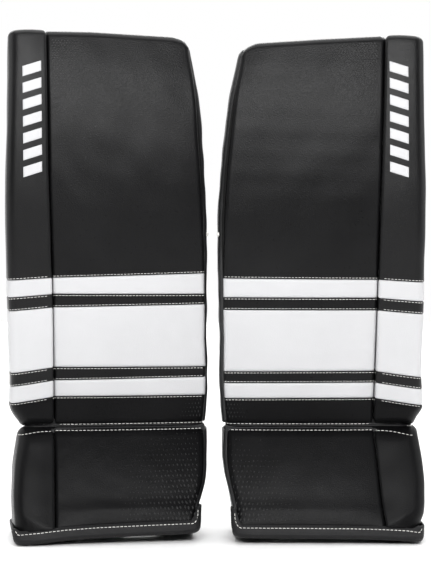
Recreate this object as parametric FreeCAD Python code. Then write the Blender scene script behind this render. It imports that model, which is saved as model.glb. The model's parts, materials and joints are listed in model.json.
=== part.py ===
"""A pair of junior ice-hockey goalie leg pads, standing side by side on their soles.

Units are millimetres. Each pad is first made in its own pad frame:
  x runs from the outer (lateral) edge, negative, to the inner (medial) edge, positive
  y runs from the face, negative, to the back where the leg goes, positive
  z runs up from the sole, with the ankle break at ANKLE_Z and the knee bend at KNEE_Z
The pad of the wearer's right leg stands at -X, and the left leg's pad is its mirror image at +X.
What straddles the leg is made in a channel frame that leans with the back of the shin:
(x, b, h), with b the distance behind the shin's back and h the height along it.
"""

import FreeCAD, Part
import math
import os

V = FreeCAD.Vector
OUT = "parts"

# ---- driving dimensions -------------------------------------------------------------------
PAD_WIDTH = 269.0          # widest, at the knee
PAD_GAP = 19.5             # between the two pads
YAW_DEG = {"right": 8.0, "left": 0.5}    # each pad's outer edge is turned towards the front

TOP_Z = 671.0              # top of the thigh rise, at the outer roll
KNEE_Z = 432.0
KNEE_Y = -42.0             # the knee bend's axis, just behind the face
ANKLE_Z = 150.0
ANKLE_Y = 12.0             # the ankle break's axis, at the bottom of the groove
SOLE_THICK = 18.0

# the face in side view, as (y, z): it leans forward from ankle to knee and back above it
FACE_LINE = [(22, 100), (4, 150), (-6, 190), (-22, 250), (-42, 348), (-50, 432), (-47, 520),
             (-36, 600), (-18, 668), (-7, 700)]
THIGH_BACK_LINE = [(12, 432), (9, 520), (14, 600), (22, 668), (27, 700)]
BOOT_FACE_LINE = [(2, 148), (-37, 82), (-72, 10)]
BACK_AT_ANKLE_Y = 62.0     # the shin's back at the ankle
BACK_AT_KNEE_Y = 12.0      # and at the knee
BOOT_HEEL_Y = 45.0         # the boot's side walls at the sole
BOOT_FOAM_DEPTH = 55.0     # front foam of the boot, ahead of the skate

# half outlines in front view, as (x, z)
OUTER_EDGE = [(-118.5, 148), (-129.5, 176), (-131.2, 240), (-133.5, 350), (-135, 450),
              (-132.5, 550), (-132, 650)]
INNER_EDGE = [(131, 148), (134.5, 200), (134.5, 400), (129, 521), (119.7, 600), (111, 640)]
TOP_OUTER = (-119.0, 671.0)
TOP_SEAM = (-78.0, 669.0)
TOP_INNER = (88.0, 656.0)
BOOT_OUTER_EDGE = [(-119, 152), (-127, 108), (-129.5, 56), (-126, 8)]
BOOT_INNER_EDGE = [(131, 152), (129, 80), (121.5, 45), (117, 8)]
SEAM_AT_ANKLE_X = -71.0    # seam between the outer roll and the face
SEAM_AT_TOP_X = -79.0
SEAM_AT_SOLE_X = -75.0

SKIN = 3.0                 # face panels, with their thin backing foam
LINER = 2.0
LAYER_GAP = 0.2            # between one layer and the next
ROLL_PROUD = 6.0           # the outer roll stands this far ahead of the face

# upper edges of the panels below the knee, from the ankle up
BAND_EDGES = [190.0, 210.0, 226.5, 309.0, 325.5, 348.5]

# the boot's sole piece, and the ears that turn up round its front corners in front view
SOLE_X = (-131.0, 123.0)
SOLE_FRONT_Y = -76.0
SOLE_ROUND = 11.0          # its lower front corners, seen from the front
SOLE_FRONT_ROUND = 7.0     # its upright front corners
EAR_PROUD = 2.0            # the ears stand this far ahead of the boot's face
EAR_Y = (-74.0, -8.0)
INNER_EAR = [(110, 17), (123, 17), (125, 33), (124, 44), (121, 47), (118, 46)]
OUTER_EAR = [(-112, 17), (-131, 17), (-132.5, 22), (-131.5, 28), (-128, 30), (-124, 29)]

# the skate's place between the boot's side walls, and the gusset in the ankle's groove
CHANNEL_X = (-60.0, 62.0)
GUSSET_X = (-108.0, 126.0)
GUSSET_AHEAD = (5.0, 7.0)  # from the ankle's axis forward
GUSSET_UP = 3.0

# the leg channel
WRAP_THICK = 10.0
WRAP_BOTTOM = 28.0
WRAP_TOP = 178.0
WING_BOTTOM = 192.0
WING_TOP = 268.0
OUTER_WRAP_LINE = [(-87, 9), (-90, 78), (-33, 116)]
INNER_WRAP_LINE = [(86, 9), (88, 76), (42, 112)]
KNEE_WING_LINE = [(-87, 9), (-90, 70), (-62, 100)]
WRAP_BEND = 45.0
PILLOW = {"half_width": 60.0, "thick": 14.0, "bottom": 18.0, "top": 180.0, "round": 5.0}
KNEE_STACK = {"x": (35.0, 105.0), "layers": 3, "layer_thick": 20.3, "round": 6.0}

# straps and side-release buckles
WEB_THICK = 2.2
WEB_WIDTH = 25.0
KNEE_WEB_WIDTH = 38.0
WEB_CLEAR = 0.6            # between a strap and the wrap below it
STRAP_START_B = 46.0       # where the straps are sewn to the outer wrap
STRAP_HEIGHTS = {"lower": 62.0, "upper": 142.0}
BOOT_STRAP_HEIGHT = -31.5
BOOT_STRAP_LINE = [(76, -4.0), (92, 58), (52, 118), (-48, 124), (-97, 88), (-93, 60)]
BUCKLE_THICK = 8.0
BUCKLE_WIDTH = 33.0
CLIP_WIDTH = 31.0
CLIP_BAR = 13.8            # the clip's ladder bars
PRONG_LONG = 16.0
PRONG_THICK = 3.0
PRONG_WIDE = 6.0
BUCKLE_LONG = 24.0
BUCKLE_APART = 1.5         # the clips stand this far short of their buckles: they are undone
WEB_TO_CLIP = 22.0         # free webbing past the outer wrap's edge
BOOT_TAB_LONG = 10.5       # from the boot's buckle to its side wall
WING_OVERHANG = 8.0        # the knee strap runs on past the wing's edge before it turns

# toe tab
TAB_HALF_WIDTH = 21.0
TAB_Z = (4.0, 8.0)
TAB_REAR_Y = 32.0
EYELET_X = 10.0
EYELET_Y = 20.0
EYELET_BORE_R = 4.0
EYELET_TUBE_R = 5.0
EYELET_FLANGE_R = 8.0
EYELET_FLANGE = 1.0

LEAN = math.atan2(BACK_AT_ANKLE_Y - BACK_AT_KNEE_Y, KNEE_Z - ANKLE_Z)
FAR = 400.0                # well outside the pad
DEEP = 160.0               # well outside its face and back


# ---- small helpers ------------------------------------------------------------------------
def spline(points):
    """An edge through the points."""
    curve = Part.BSplineCurve()
    curve.interpolate(points)
    return curve.toShape()


def side_points(line, shift=0.0):
    """(y, z) pairs as points in the side plane, moved back by shift."""
    return [V(-FAR, y + shift, z) for y, z in line]


def front_points(line):
    """(x, z) pairs as points in the front plane."""
    return [V(x, -FAR, z) for x, z in line]


def close(edges):
    """A face bounded by the edges, joined end to end by straight lines."""
    chain = []
    for edge in edges:
        if chain:
            gap_start = chain[-1].Vertexes[-1].Point
            gap_end = edge.Vertexes[0].Point
            if gap_start.distanceToPoint(gap_end) > 1e-6:
                chain.append(Part.makeLine(gap_start, gap_end))
        chain.append(edge)
    first, last = chain[0].Vertexes[0].Point, chain[-1].Vertexes[-1].Point
    if first.distanceToPoint(last) > 1e-6:
        chain.append(Part.makeLine(last, first))
    return Part.Face(Part.Wire(chain))


def polygon(points):
    return Part.Face(Part.makePolygon(points + [points[0]]))


def across(face):
    """A side-plane face extruded over the whole width."""
    return face.extrude(V(2 * FAR, 0, 0))


def deep(face):
    """A front-plane face extruded over the whole depth."""
    return face.extrude(V(0, 2 * FAR, 0))


def one(shape):
    """The shape's only solid, with seams between its faces merged."""
    solids = shape.removeSplitter().Solids
    if len(solids) != 1:
        raise ValueError("expected one solid, got %d" % len(solids))
    return solids[0]


def box(x, y, z):
    """A box from three (low, high) ranges."""
    return Part.makeBox(x[1] - x[0], y[1] - y[0], z[1] - z[0], V(x[0], y[0], z[0]))


def slope(angle_deg):
    return math.tan(math.radians(angle_deg))


def lean(shape):
    """Puts a shape made in the channel frame into the pad frame."""
    moved = shape.copy()
    moved.rotate(V(0, 0, 0), V(1, 0, 0), math.degrees(LEAN))
    moved.translate(V(0, BACK_AT_ANKLE_Y, ANKLE_Z))
    return moved


# ---- paths and ribbons in the channel frame -----------------------------------------------
def unit(a, b):
    length = math.hypot(b[0] - a[0], b[1] - a[1])
    return (b[0] - a[0]) / length, (b[1] - a[1]) / length


def offset_path(path, distance):
    """The path moved to its left by distance, with mitred corners."""
    moved = []
    for i, point in enumerate(path):
        before = unit(path[i - 1], point) if i else None
        after = unit(point, path[i + 1]) if i + 1 < len(path) else None
        before, after = before or after, after or before
        normal = (-before[1] - after[1], before[0] + after[0])
        scale = distance / (normal[0] * -before[1] + normal[1] * before[0])
        moved.append((point[0] + normal[0] * scale, point[1] + normal[1] * scale))
    return moved


def rounded_edges(path, radii):
    """Lines and tangent arcs along a flat path, with a radius for each inner corner."""
    edges = []
    at = path[0]
    for i in range(1, len(path) - 1):
        before, after = unit(path[i - 1], path[i]), unit(path[i], path[i + 1])
        turn = math.acos(before[0] * after[0] + before[1] * after[1])
        cut = radii[i - 1] * math.tan(turn / 2)
        start = (path[i][0] - before[0] * cut, path[i][1] - before[1] * cut)
        end = (path[i][0] + after[0] * cut, path[i][1] + after[1] * cut)
        bulge = radii[i - 1] * (1 / math.cos(turn / 2) - 1)
        inward = unit(before, after)
        middle = (path[i][0] + inward[0] * bulge, path[i][1] + inward[1] * bulge)
        edges.append(Part.makeLine(V(*at, 0), V(*start, 0)))
        edges.append(Part.Arc(V(*start, 0), V(*middle, 0), V(*end, 0)).toShape())
        at = end
    edges.append(Part.makeLine(V(*at, 0), V(*path[-1], 0)))
    return edges


def ribbon(path, radius, thick, bottom, top):
    """A strip of even thickness that stands upright along the path."""
    sides = []
    for shift in (thick / 2, -thick / 2):
        radii = []
        for i in range(1, len(path) - 1):
            before, after = unit(path[i - 1], path[i]), unit(path[i], path[i + 1])
            left_turn = before[0] * after[1] - before[1] * after[0] > 0
            radii.append(radius - shift if left_turn else radius + shift)
        sides.append(rounded_edges(offset_path(path, shift), radii))
    left, right = sides
    ends = [Part.makeLine(left[-1].Vertexes[-1].Point, right[-1].Vertexes[-1].Point),
            Part.makeLine(left[0].Vertexes[0].Point, right[0].Vertexes[0].Point)]
    face = Part.Face(Part.Wire(Part.__sortEdges__(left + right + ends)))
    strip = face.extrude(V(0, 0, top - bottom))
    strip.translate(V(0, 0, bottom))
    return strip


def round_upright_corners(strip, radius, bottom, top):
    """Rounds a ribbon's corners at its free end and its base, seen from the side."""
    short = [e for e in strip.Edges
             if abs(e.Length - WRAP_THICK) < 0.01
             and min(abs(e.CenterOfMass.z - bottom), abs(e.CenterOfMass.z - top)) < 0.01]
    return strip.makeFillet(radius, short)


# ---- body of the pad ----------------------------------------------------------------------
def upper_slab(front_shift, back_shift):
    """Thigh and shin between the face and the back, each moved by its shift."""
    face = spline(side_points(FACE_LINE, front_shift))
    back = spline(side_points(THIGH_BACK_LINE, back_shift)[::-1])
    low_z = FACE_LINE[0][1]
    low_y = BACK_AT_ANKLE_Y + (ANKLE_Z - low_z) * math.tan(LEAN) + back_shift
    knee = V(-FAR, BACK_AT_KNEE_Y + back_shift, KNEE_Z)
    shin = Part.makeLine(knee, V(-FAR, low_y, low_z))
    return across(close([face, back, shin]))


def boot_slab(front_shift, back_shift):
    """The boot between its face and the rear edge of its side walls."""
    face = spline(side_points(BOOT_FACE_LINE, front_shift))
    rear = Part.makeLine(V(-FAR, BOOT_HEEL_Y + back_shift, BOOT_FACE_LINE[-1][1]),
                         V(-FAR, BACK_AT_ANKLE_Y + back_shift, BOOT_FACE_LINE[0][1]))
    return across(close([face, rear]))


def upper_outline():
    """Front view of thigh and shin, with rounded top corners."""
    outer = spline(front_points(OUTER_EDGE))
    inner = spline(front_points(INNER_EDGE[::-1]))
    corner_out = Part.Arc(V(OUTER_EDGE[-1][0], -FAR, OUTER_EDGE[-1][1]),
                          V(-128.5, -FAR, 666.0), V(TOP_OUTER[0], -FAR, TOP_OUTER[1]))
    corner_in = Part.Arc(V(TOP_INNER[0], -FAR, TOP_INNER[1]),
                         V(103, -FAR, 651.5), V(INNER_EDGE[-1][0], -FAR, INNER_EDGE[-1][1]))
    top = Part.makePolygon([V(x, -FAR, z) for x, z in (TOP_OUTER, TOP_SEAM, TOP_INNER)])
    return deep(close([outer, corner_out.toShape(), *top.Edges, corner_in.toShape(), inner]))


def boot_outline():
    outer = spline(front_points(BOOT_OUTER_EDGE))
    inner = spline(front_points(BOOT_INNER_EDGE[::-1]))
    return deep(close([outer, inner]))


def beside_seam(side, gap):
    """Everything on the face's side (+1) or the roll's side (-1) of the roll seam."""
    edge = [(SEAM_AT_SOLE_X, -10.0), (SEAM_AT_SOLE_X, SOLE_THICK), (SEAM_AT_ANKLE_X, ANKLE_Z),
            (SEAM_AT_TOP_X, TOP_Z), (SEAM_AT_TOP_X, TOP_Z + 60)]
    line = [V(x + side * gap / 2, -FAR, z) for x, z in edge]
    return deep(polygon(line + [V(side * FAR, -FAR, TOP_Z + 60), V(side * FAR, -FAR, -10)]))


def thigh_zone():
    """Above the knee bend, cut back so that the thigh can tip 12 degrees back and 6 forward."""
    foot = KNEE_Z + 0.5
    return across(polygon([
        V(-FAR, KNEE_Y, foot), V(-FAR, DEEP, foot + (DEEP - KNEE_Y) * slope(13)),
        V(-FAR, DEEP, 2 * FAR), V(-FAR, -DEEP, 2 * FAR),
        V(-FAR, -DEEP, foot + (DEEP + KNEE_Y) * slope(7))]))


def shin_zone():
    """Between the knee bend and the ankle break."""
    foot, groove, heel = ANKLE_Z + 0.8, slope(24), slope(2)
    return across(polygon([
        V(-FAR, ANKLE_Y, foot), V(-FAR, DEEP, foot + (DEEP - ANKLE_Y) * heel),
        V(-FAR, DEEP, KNEE_Z - 0.5), V(-FAR, -DEEP, KNEE_Z - 0.5),
        V(-FAR, -DEEP, foot + (DEEP + ANKLE_Y) * groove)]))


def boot_zone():
    """Below the ankle break, down to the sole piece."""
    head, groove, heel = ANKLE_Z - 0.8, slope(24), slope(8)
    return across(polygon([
        V(-FAR, ANKLE_Y, head), V(-FAR, -DEEP, head - (DEEP + ANKLE_Y) * groove),
        V(-FAR, -DEEP, SOLE_THICK + LAYER_GAP), V(-FAR, DEEP, SOLE_THICK + LAYER_GAP),
        V(-FAR, DEEP, head - (DEEP - ANKLE_Y) * heel)]))


def between(low, high):
    """Everything between two heights."""
    return box((-FAR, FAR), (-FAR, FAR), (low, high))


def skate_channel():
    """The open space behind the boot's front foam, between its side walls."""
    face = spline(side_points(BOOT_FACE_LINE, BOOT_FOAM_DEPTH))
    top, low = face.Vertexes[0].Point, face.Vertexes[-1].Point
    behind = [Part.makeLine(low, V(-FAR, low.y, -10)),
              Part.makeLine(V(-FAR, low.y, -10), V(-FAR, FAR, -10)),
              Part.makeLine(V(-FAR, FAR, -10), V(-FAR, FAR, top.z + 20)),
              Part.makeLine(V(-FAR, FAR, top.z + 20), V(-FAR, top.y, top.z + 20))]
    return across(close([face] + behind)).common(box(CHANNEL_X, (-FAR, FAR), (-FAR, FAR)))


def thigh_and_shin():
    """Foam cores, rolls and face panels above the ankle break."""
    outline = upper_outline()
    face_side = outline.common(beside_seam(1, LAYER_GAP))
    roll_side = outline.common(beside_seam(-1, LAYER_GAP))
    core = upper_slab(SKIN + LAYER_GAP, -LINER - LAYER_GAP).common(face_side)
    skin = face_skin(face_side)
    roll = upper_slab(-ROLL_PROUD, 0).common(roll_side)
    liner = upper_slab(0, 0).cut(upper_slab(0, -LINER)).common(face_side)
    thigh, shin = thigh_zone(), shin_zone()
    edges = [ANKLE_Z - 20] + BAND_EDGES + [KNEE_Z]
    strips = [skin.common(shin).common(between(low + LAYER_GAP / 2, high - LAYER_GAP / 2))
              for low, high in zip(edges[:-1], edges[1:])]
    strips = [one(strip) for strip in strips]
    return {
        "thigh_core": one(core.common(thigh)),
        "thigh_roll": one(roll.common(thigh)),
        "thigh_cover": one(skin.common(thigh)),
        "shin_core": one(core.common(shin)),
        "shin_roll": one(roll.common(shin)),
        "knee_panel": strips[6],
        "white_bands": Part.makeCompound([strips[1], strips[3], strips[5]]),
        "black_bands": Part.makeCompound([strips[0], strips[2], strips[4]]),
        "shin_liner": one(liner.common(shin)),
    }


def face_skin(face_side):
    """The face panels' layer, before it is cut into strips."""
    front, rear = side_points(FACE_LINE), side_points(FACE_LINE[::-1], SKIN)
    return across(close([spline(front), spline(rear)])).common(face_side)


def ankle_gusset():
    """The strip of leather at the bottom of the groove, sewn to the shin."""
    near, far = GUSSET_AHEAD
    return box(GUSSET_X, (ANKLE_Y - far, ANKLE_Y - near), (ANKLE_Z - 0.8, ANKLE_Z + GUSSET_UP))


def boot():
    """Foam, roll, face panel and sole piece below the ankle break."""
    outline, zone = boot_outline(), boot_zone()
    channel = skate_channel()
    face_side = outline.common(beside_seam(1, LAYER_GAP)).common(zone)
    roll_side = outline.common(beside_seam(-1, LAYER_GAP)).common(zone)
    front = spline(side_points(BOOT_FACE_LINE))
    rear = spline(side_points(BOOT_FACE_LINE[::-1], SKIN))
    return {
        "boot_core": one(boot_slab(SKIN + LAYER_GAP, 0).common(face_side).cut(channel)),
        "boot_roll": one(boot_slab(-ROLL_PROUD + 1, 0).common(roll_side)),
        "boot_cover": one(across(close([front, rear])).common(face_side)),
        "boot_base": sole_piece(channel),
    }


def sole_piece(channel):
    """The wider bottom piece of the boot, with ears that turn up round its front corners."""
    slab = box(SOLE_X, (SOLE_FRONT_Y, BOOT_HEEL_Y + 1), (0, SOLE_THICK))
    low_sides = [e for e in slab.Edges if abs(e.CenterOfMass.z) < 0.01
                 and abs(e.CenterOfMass.y - slab.CenterOfMass.y) < 1]
    slab = slab.makeFillet(SOLE_ROUND, low_sides)
    upright = [e for e in slab.Edges if abs(e.CenterOfMass.y - SOLE_FRONT_Y) < 0.5
               and e.CenterOfMass.z > SOLE_ROUND and e.Length < SOLE_THICK]
    slab = slab.makeFillet(SOLE_FRONT_ROUND, upright)
    ear_band = boot_slab(-EAR_PROUD, 0).common(box((-FAR, FAR), EAR_Y, (0, ANKLE_Z)))
    ears = [deep(polygon(front_points(ear))).common(ear_band) for ear in (INNER_EAR, OUTER_EAR)]
    above_sole = boot_outline().common(box((-FAR, FAR), (-FAR, FAR), (SOLE_THICK, ANKLE_Z)))
    piece = slab.fuse([ear.cut(above_sole) for ear in ears]).cut(channel)
    return one(piece)


def toe_tab():
    """Leather tab behind the sole piece, with two eyelets for the toe tie."""
    front_y = BOOT_FACE_LINE[-1][0] + BOOT_FOAM_DEPTH
    tab = box((-TAB_HALF_WIDTH, TAB_HALF_WIDTH), (front_y + 0.1, TAB_REAR_Y), TAB_Z)
    corners = [e for e in tab.Edges
               if abs(e.Length - (TAB_Z[1] - TAB_Z[0])) < 0.01 and e.CenterOfMass.y > 0]
    tab = tab.makeFillet(9, corners)
    low, high = TAB_Z[0] - EYELET_FLANGE, TAB_Z[1] + EYELET_FLANGE
    eyelets = []
    for x in (-EYELET_X, EYELET_X):
        at = V(x, EYELET_Y, low)
        tab = tab.cut(Part.makeCylinder(EYELET_TUBE_R, high - low, at))
        eyelet = Part.makeCylinder(EYELET_TUBE_R, high - low, at)
        for z in (low, TAB_Z[1]):
            flange = Part.makeCylinder(EYELET_FLANGE_R, EYELET_FLANGE, V(x, EYELET_Y, z))
            eyelet = eyelet.fuse(flange)
        eyelets.append(one(eyelet.cut(Part.makeCylinder(EYELET_BORE_R, high - low, at))))
    return {"toe_tab": one(tab), "toe_eyelets": Part.makeCompound(eyelets)}


# ---- leg channel --------------------------------------------------------------------------
def wrap(path, bottom, top):
    """A padded flap that stands beside the leg and curls round behind it."""
    return round_upright_corners(ribbon(path, WRAP_BEND, WRAP_THICK, bottom, top), 14,
                                 bottom, top)


def calf_pillow():
    p = PILLOW
    pillow = box((-p["half_width"], p["half_width"]), (0.3, p["thick"]), (p["bottom"], p["top"]))
    return pillow.makeFillet(p["round"], [e for e in pillow.Edges if e.CenterOfMass.y > 1])


def knee_stack():
    """Foam blocks behind the knee, on the inner side, that take the landing."""
    k = KNEE_STACK
    blocks = []
    for i in range(k["layers"]):
        start = 0.3 + i * (k["layer_thick"] + 0.4)
        block = box(k["x"], (start, start + k["layer_thick"]), (WING_BOTTOM, WING_TOP))
        blocks.append(block.makeFillet(k["round"], [e for e in block.Edges
                                                    if abs(e.Length - k["layer_thick"]) < 0.01]))
    return Part.makeCompound(blocks)


def along(start, way, distance):
    return start[0] + way[0] * distance, start[1] + way[1] * distance


def stand_on(shape, start, way, height):
    """Places a shape made along +x from the origin so that it runs from start along way."""
    moved = shape.copy()
    moved.rotate(V(0, 0, 0), V(0, 0, 1), math.degrees(math.atan2(way[1], way[0])))
    moved.translate(V(start[0], start[1], height))
    return moved


def clip():
    """The buckle's male half: a ladder of bars for the webbing, two side prongs and a tongue."""
    half, thick = CLIP_WIDTH / 2, BUCKLE_THICK / 2 - 0.5
    body = box((0, CLIP_BAR), (-thick, thick), (-half, half))
    for x in (2.6, 8.2):
        body = body.cut(box((x, x + 2.8), (-FAR, FAR), (-WEB_WIDTH / 2 - 0.5, WEB_WIDTH / 2 + 0.5)))
    root = CLIP_BAR - 0.5
    for side in (-1, 1):
        low, high = sorted((side * (half - 1), side * (half - 1 - PRONG_WIDE)))
        prong = box((root, CLIP_BAR + PRONG_LONG), (-PRONG_THICK / 2, PRONG_THICK / 2), (low, high))
        tip = [e for e in prong.Edges if abs(e.Length - PRONG_THICK) < 0.01
               and e.CenterOfMass.x > root + 1]
        body = body.fuse(prong.makeFillet(2.4, tip))
    tongue = box((root, CLIP_BAR + PRONG_LONG - 3), (-PRONG_THICK / 2, PRONG_THICK / 2), (-2.5, 2.5))
    return one(body.fuse(tongue))


def buckle():
    """The buckle's female half: a flat housing with a slot for the prongs and a webbing bar."""
    half, thick = BUCKLE_WIDTH / 2, BUCKLE_THICK / 2
    body = box((0, BUCKLE_LONG), (-thick, thick), (-half, half))
    body = body.makeFillet(2.5, [e for e in body.Edges if abs(e.Length - BUCKLE_LONG) < 0.01])
    slot = PRONG_THICK / 2 + 0.3
    body = body.cut(box((-1, PRONG_LONG + 1), (-slot, slot), (-half + 1.5, half - 1.5)))
    for side in (-1, 1):
        low, high = sorted((side * (half + 1), side * (half - 4.5)))
        body = body.cut(box((9, PRONG_LONG + 1), (-thick - 1, thick + 1), (low, high)))
    bar_hole = box((BUCKLE_LONG - 5.4, BUCKLE_LONG - 2.6), (-FAR, FAR),
                   (-WEB_WIDTH / 2 - 0.5, WEB_WIDTH / 2 + 0.5))
    return one(body.cut(bar_hole))


def calf_strap_path():
    """Webbing over the outer wrap and on past its edge, and the way it points at its end."""
    lift = WRAP_THICK / 2 + WEB_CLEAR + WEB_THICK / 2
    over = offset_path(OUTER_WRAP_LINE, lift)
    start = (over[0][0] + (STRAP_START_B - over[0][1]) * (over[1][0] - over[0][0])
             / (over[1][1] - over[0][1]), STRAP_START_B)
    across_to = offset_path(INNER_WRAP_LINE, -lift)[-1]
    way = unit(over[-1], across_to)
    end = along(over[-1], way, WEB_TO_CLIP)
    return [start, over[1], over[-1], end], way, across_to


def calf_straps():
    """Upper and lower straps with their clips, and the buckles on the inner wrap."""
    path, way, far_side = calf_strap_path()
    parts, buckles = {}, []
    mouth = along(path[-1], way, LAYER_GAP + CLIP_BAR + PRONG_LONG + BUCKLE_APART)
    tail = along(mouth, way, BUCKLE_LONG + LAYER_GAP)
    lift = WRAP_THICK / 2 + WEB_THICK / 2 + 0.1
    on_wrap = offset_path(INNER_WRAP_LINE, -lift)
    down = along(on_wrap[-1], unit(on_wrap[-1], on_wrap[1]), 26)
    for name, height in STRAP_HEIGHTS.items():
        low, high = height - WEB_WIDTH / 2, height + WEB_WIDTH / 2
        parts[name + "_calf_strap"] = ribbon(path, 12, WEB_THICK, low, high)
        start = along(path[-1], way, LAYER_GAP)
        parts[name + "_calf_clip"] = stand_on(clip(), start, way, height)
        buckles.append(stand_on(buckle(), mouth, way, height))
        buckles.append(ribbon([tail, on_wrap[-1], down], 2.5, WEB_THICK, low, high))
    parts["calf_buckles"] = Part.makeCompound(buckles)
    return parts


def knee_strap():
    """Wide elastic from the knee wing to the back of the knee stack."""
    lift = WRAP_THICK / 2 + WEB_CLEAR + WEB_THICK / 2
    over = offset_path(KNEE_WING_LINE, lift)
    start = (over[0][0] + (STRAP_START_B - over[0][1]) * (over[1][0] - over[0][0])
             / (over[1][1] - over[0][1]), STRAP_START_B)
    stack_back = 0.3 + KNEE_STACK["layers"] * (KNEE_STACK["layer_thick"] + 0.4)
    rest_b = stack_back + 1.5 + WEB_THICK / 2
    past = along(over[2], unit(over[1], over[2]), WING_OVERHANG)
    path = [start, over[1], past, (30, rest_b + 1.5), (93, rest_b)]
    middle = (WING_BOTTOM + WING_TOP) / 2
    return ribbon(path, 12, WEB_THICK, middle - KNEE_WEB_WIDTH / 2, middle + KNEE_WEB_WIDTH / 2)


def boot_strap():
    """Webbing round behind the ankle, its clip, and the buckle held on the outer side wall."""
    path = BOOT_STRAP_LINE
    low, high = BOOT_STRAP_HEIGHT - WEB_WIDTH / 2, BOOT_STRAP_HEIGHT + WEB_WIDTH / 2
    way = unit(path[-2], path[-1])
    start = along(path[-1], way, LAYER_GAP)
    mouth = along(start, way, CLIP_BAR + PRONG_LONG + BUCKLE_APART)
    tail = along(mouth, way, BUCKLE_LONG + LAYER_GAP)
    tab = ribbon([tail, along(tail, way, BOOT_TAB_LONG)], 5, WEB_THICK, low, high)
    return {
        "boot_strap": ribbon(path, 28, WEB_THICK, low, high),
        "boot_clip": stand_on(clip(), start, way, BOOT_STRAP_HEIGHT),
        "boot_buckle": Part.makeCompound([stand_on(buckle(), mouth, way, BOOT_STRAP_HEIGHT), tab]),
    }


def leg_channel():
    parts = {
        "calf_pillow": calf_pillow(),
        "outer_calf_wrap": wrap(OUTER_WRAP_LINE, WRAP_BOTTOM, WRAP_TOP),
        "inner_calf_wrap": wrap(INNER_WRAP_LINE, WRAP_BOTTOM, WRAP_TOP),
        "knee_wing": wrap(KNEE_WING_LINE, WING_BOTTOM, WING_TOP),
        "knee_stack": knee_stack(),
        "knee_strap": knee_strap(),
    }
    parts.update(calf_straps())
    parts.update(boot_strap())
    return {name: lean(shape) for name, shape in parts.items()}


# ---- the pair -----------------------------------------------------------------------------
def pad():
    """Every piece of one pad, in the pad frame."""
    parts = thigh_and_shin()
    parts["ankle_gusset"] = ankle_gusset()
    parts.update(boot())
    parts.update(toe_tab())
    parts.update(leg_channel())
    return parts


def place(shape, side):
    """Puts a piece of one pad where that leg's pad stands."""
    sign = -1 if side == "right" else 1
    moved = shape.copy() if side == "right" else shape.mirror(V(0, 0, 0), V(1, 0, 0))
    moved.rotate(V(0, 0, 0), V(0, 0, 1), -sign * YAW_DEG[side])
    moved.translate(V(sign * (PAD_WIDTH + PAD_GAP) / 2, 0, 0))
    return moved


def main():
    os.makedirs(OUT, exist_ok=True)
    parts = pad()
    placed = {side + "_" + name: place(shape, side)
              for side in ("right", "left") for name, shape in parts.items()}
    extent = Part.makeCompound(list(placed.values())).optimalBoundingBox(False, False)
    to_centre = V(-extent.Center.x, -extent.Center.y, 0)
    print("moved to the centre by", to_centre, "size", extent.XLength, extent.YLength, extent.ZLength)
    for name, shape in placed.items():
        shape.translate(to_centre)
        if not shape.isValid():
            print("INVALID", name)
        shape.exportStep(os.path.join(OUT, name + ".step"))
    print(len(placed), "nodes")


main()
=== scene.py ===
"""Looks for a pair of goalie leg pads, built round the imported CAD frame.

Pieces are made in the pad frame, in mm, then placed for the right pad and, mirrored, for the
left one: x runs from the outer edge (-) to the inner edge (+), y from the face (-) to the back
(+), z up. Straps, wraps and knee blocks are made in the channel frame (x, b, h), which leans
with the back of the shin.
"""
import bmesh
import bpy
import json
import math
import numpy as np
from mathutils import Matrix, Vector
from mathutils.bvhtree import BVHTree


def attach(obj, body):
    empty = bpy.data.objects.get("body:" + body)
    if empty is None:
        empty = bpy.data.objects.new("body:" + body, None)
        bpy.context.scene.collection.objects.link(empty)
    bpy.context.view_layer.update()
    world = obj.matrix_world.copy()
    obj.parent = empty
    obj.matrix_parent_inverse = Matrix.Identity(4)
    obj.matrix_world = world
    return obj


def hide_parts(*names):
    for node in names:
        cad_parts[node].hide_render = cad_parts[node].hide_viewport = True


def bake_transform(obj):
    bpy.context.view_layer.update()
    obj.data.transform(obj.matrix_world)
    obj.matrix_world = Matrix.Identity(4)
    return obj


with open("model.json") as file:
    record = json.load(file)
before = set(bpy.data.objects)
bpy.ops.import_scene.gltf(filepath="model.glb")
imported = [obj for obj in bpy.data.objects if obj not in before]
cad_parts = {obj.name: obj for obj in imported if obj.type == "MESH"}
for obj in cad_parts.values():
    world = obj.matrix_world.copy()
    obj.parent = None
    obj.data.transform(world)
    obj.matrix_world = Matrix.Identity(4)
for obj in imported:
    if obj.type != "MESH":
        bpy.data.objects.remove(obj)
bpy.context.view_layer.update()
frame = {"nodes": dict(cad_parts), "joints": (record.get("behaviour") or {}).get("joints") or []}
NODES = frame["nodes"]
JOINTS = {j["name"]: j for j in frame["joints"]}
SIDES = ("right", "left")

# ---- dimensions shared with the CAD, in mm ----
KNEE_Z, KNEE_Y = 432.0, -42.0
ANKLE_Z, ANKLE_Y = 150.0, 12.0
CORNER_X = 103.0
BAND_EDGES = [190.0, 210.0, 226.5, 309.0, 325.5, 348.5]
BACK_AT_ANKLE_Y = 62.0
LEAN = math.atan2(50.0, 282.0)
GROOVE_SLOPE = math.tan(math.radians(24))
SOLE = 18.0
ROLL_PROUD = 6.0
CREST_Z = 671.0


# ---- small maths ----
def columns_of(table):
    return (np.array([p[k] for p in table], float) for k in (0, 1))


def through(table):
    """A smooth function through (input, value) pairs."""
    t, v = columns_of(table)
    slope = np.gradient(v, t)

    def at(q):
        q = np.asarray(q, float)
        i = np.clip(np.searchsorted(t, q) - 1, 0, len(t) - 2)
        h = t[i + 1] - t[i]
        s = np.clip((q - t[i]) / h, -0.2, 1.2)
        return ((2 * s**3 - 3 * s**2 + 1) * v[i] + (s**3 - 2 * s**2 + s) * h * slope[i]
                + (3 * s**2 - 2 * s**3) * v[i + 1] + (s**3 - s**2) * h * slope[i + 1])
    return at


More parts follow.
